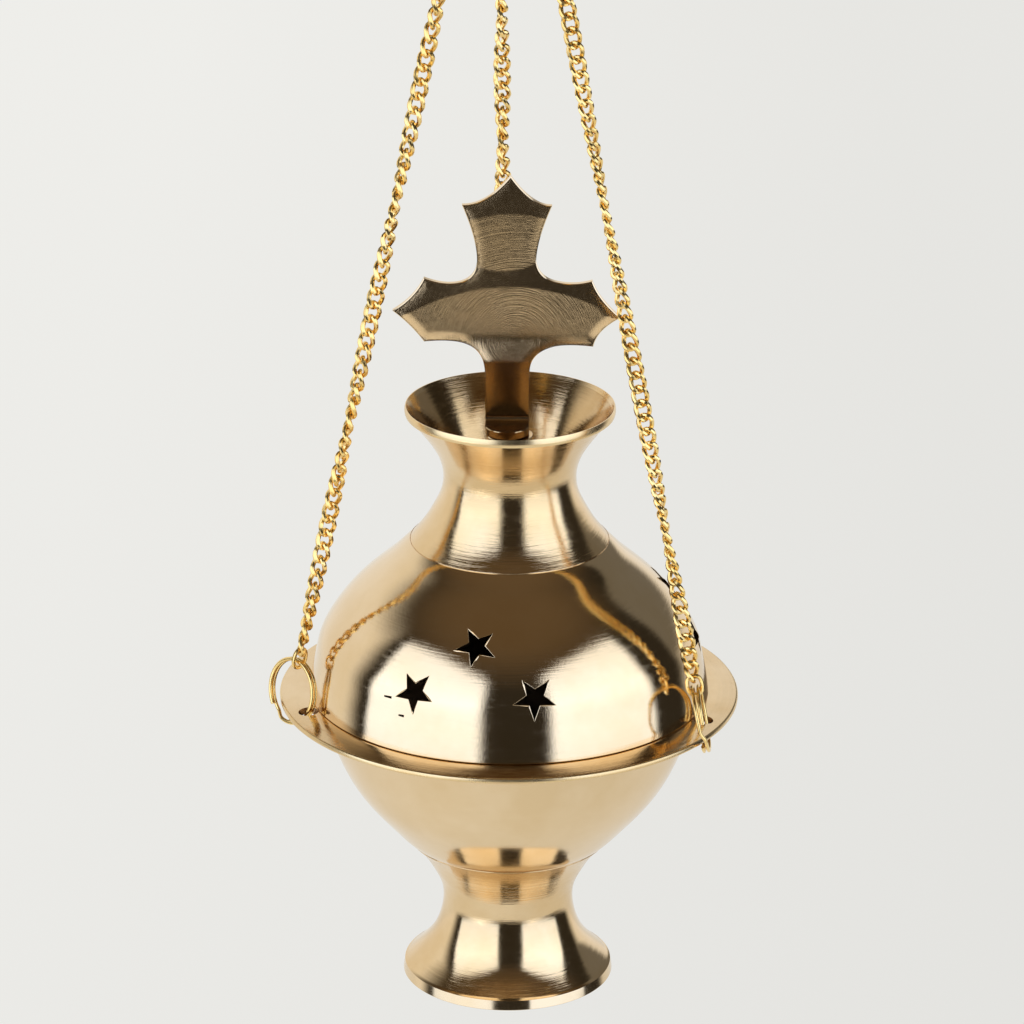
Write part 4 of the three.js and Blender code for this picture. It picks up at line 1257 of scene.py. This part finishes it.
def lamp_glow(lamp):
    """Brightest across the middle of a softbox and fading out at its edges."""
    lamp.use_nodes = True
    tree = lamp.node_tree
    place = tree.nodes.new("ShaderNodeNewGeometry").outputs["Parametric"]
    across, along, _ = add(tree, "ShaderNodeSeparateXYZ", Vector=place).outputs
    glow = None
    for share, soft in ((across, BOX_SOFT_SIDE), (along, BOX_SOFT_END)):
        edge = maths(tree, "SUBTRACT", 0.5, maths(tree, "ABSOLUTE", maths(tree, "SUBTRACT", share, 0.5)))
        fade = smooth_between(tree, edge, 0.0, soft)
        glow = fade if glow is None else maths(tree, "MULTIPLY", glow, fade)
    glow = maths(tree, "MULTIPLY", glow, remap(tree, edge, 0.0, 0.5, BOX_END_GLOW, BOX_MIDDLE_GLOW))
    plug(tree, tree.nodes["Emission"].inputs["Strength"], glow)


def softbox(name, azimuth, width, low, high):
    """A large square lamp that faces the object. Azimuth 0 is the camera's side."""
    lamp = bpy.data.lights.new(name, "AREA")
    lamp.shape = "RECTANGLE"
    lamp.size = width
    lamp.size_y = high - low
    lamp.energy = BOX_RADIANCE * math.pi * lamp.size * lamp.size_y
    lamp.color = BOX_COLOUR
    lamp_glow(lamp)
    box = bpy.data.objects.new(name, lamp)
    a = math.radians(azimuth)
    box.location = (
        AXIS_X * MM + BOX_DISTANCE * math.sin(a), -BOX_DISTANCE * math.cos(a), (low + high) / 2,
    )
    box.rotation_euler = (math.radians(90), 0, a)
    box.visible_camera = False
    bpy.context.scene.collection.objects.link(box)


make_floor()
make_world()
for box_name, box_place in SOFTBOXES.items():
    softbox(box_name, *box_place)


# Camera


def make_camera():
    """A long lens that looks down at the neck's foot, as the photograph does."""
    lens = bpy.data.cameras.new("camera")
    lens.sensor_width = SENSOR
    lens.lens = FOCAL_PIXELS * SENSOR / PHOTO_SIDE
    lens.shift_x = (PHOTO_SIDE / 2 - AXIS_PIXEL) / PHOTO_SIDE
    lens.clip_end = 60.0
    camera = bpy.data.objects.new("camera", lens)
    rise = math.radians(CAMERA_ELEVATION)
    aim = to_row((0, 0, AIM_HEIGHT))
    camera.location = aim + Vector((0, -math.cos(rise), math.sin(rise))) * CAMERA_DISTANCE * MM
    tilt = Matrix.Rotation(math.radians(90 - CAMERA_ELEVATION), 4, "X")
    roll = Matrix.Rotation(math.radians(CAMERA_ROLL), 4, "Z")
    camera.rotation_euler = (tilt @ roll).to_euler()
    bpy.context.scene.collection.objects.link(camera)
    bpy.context.scene.camera = camera


make_camera()
bpy.context.scene.view_settings.view_transform = "Standard"
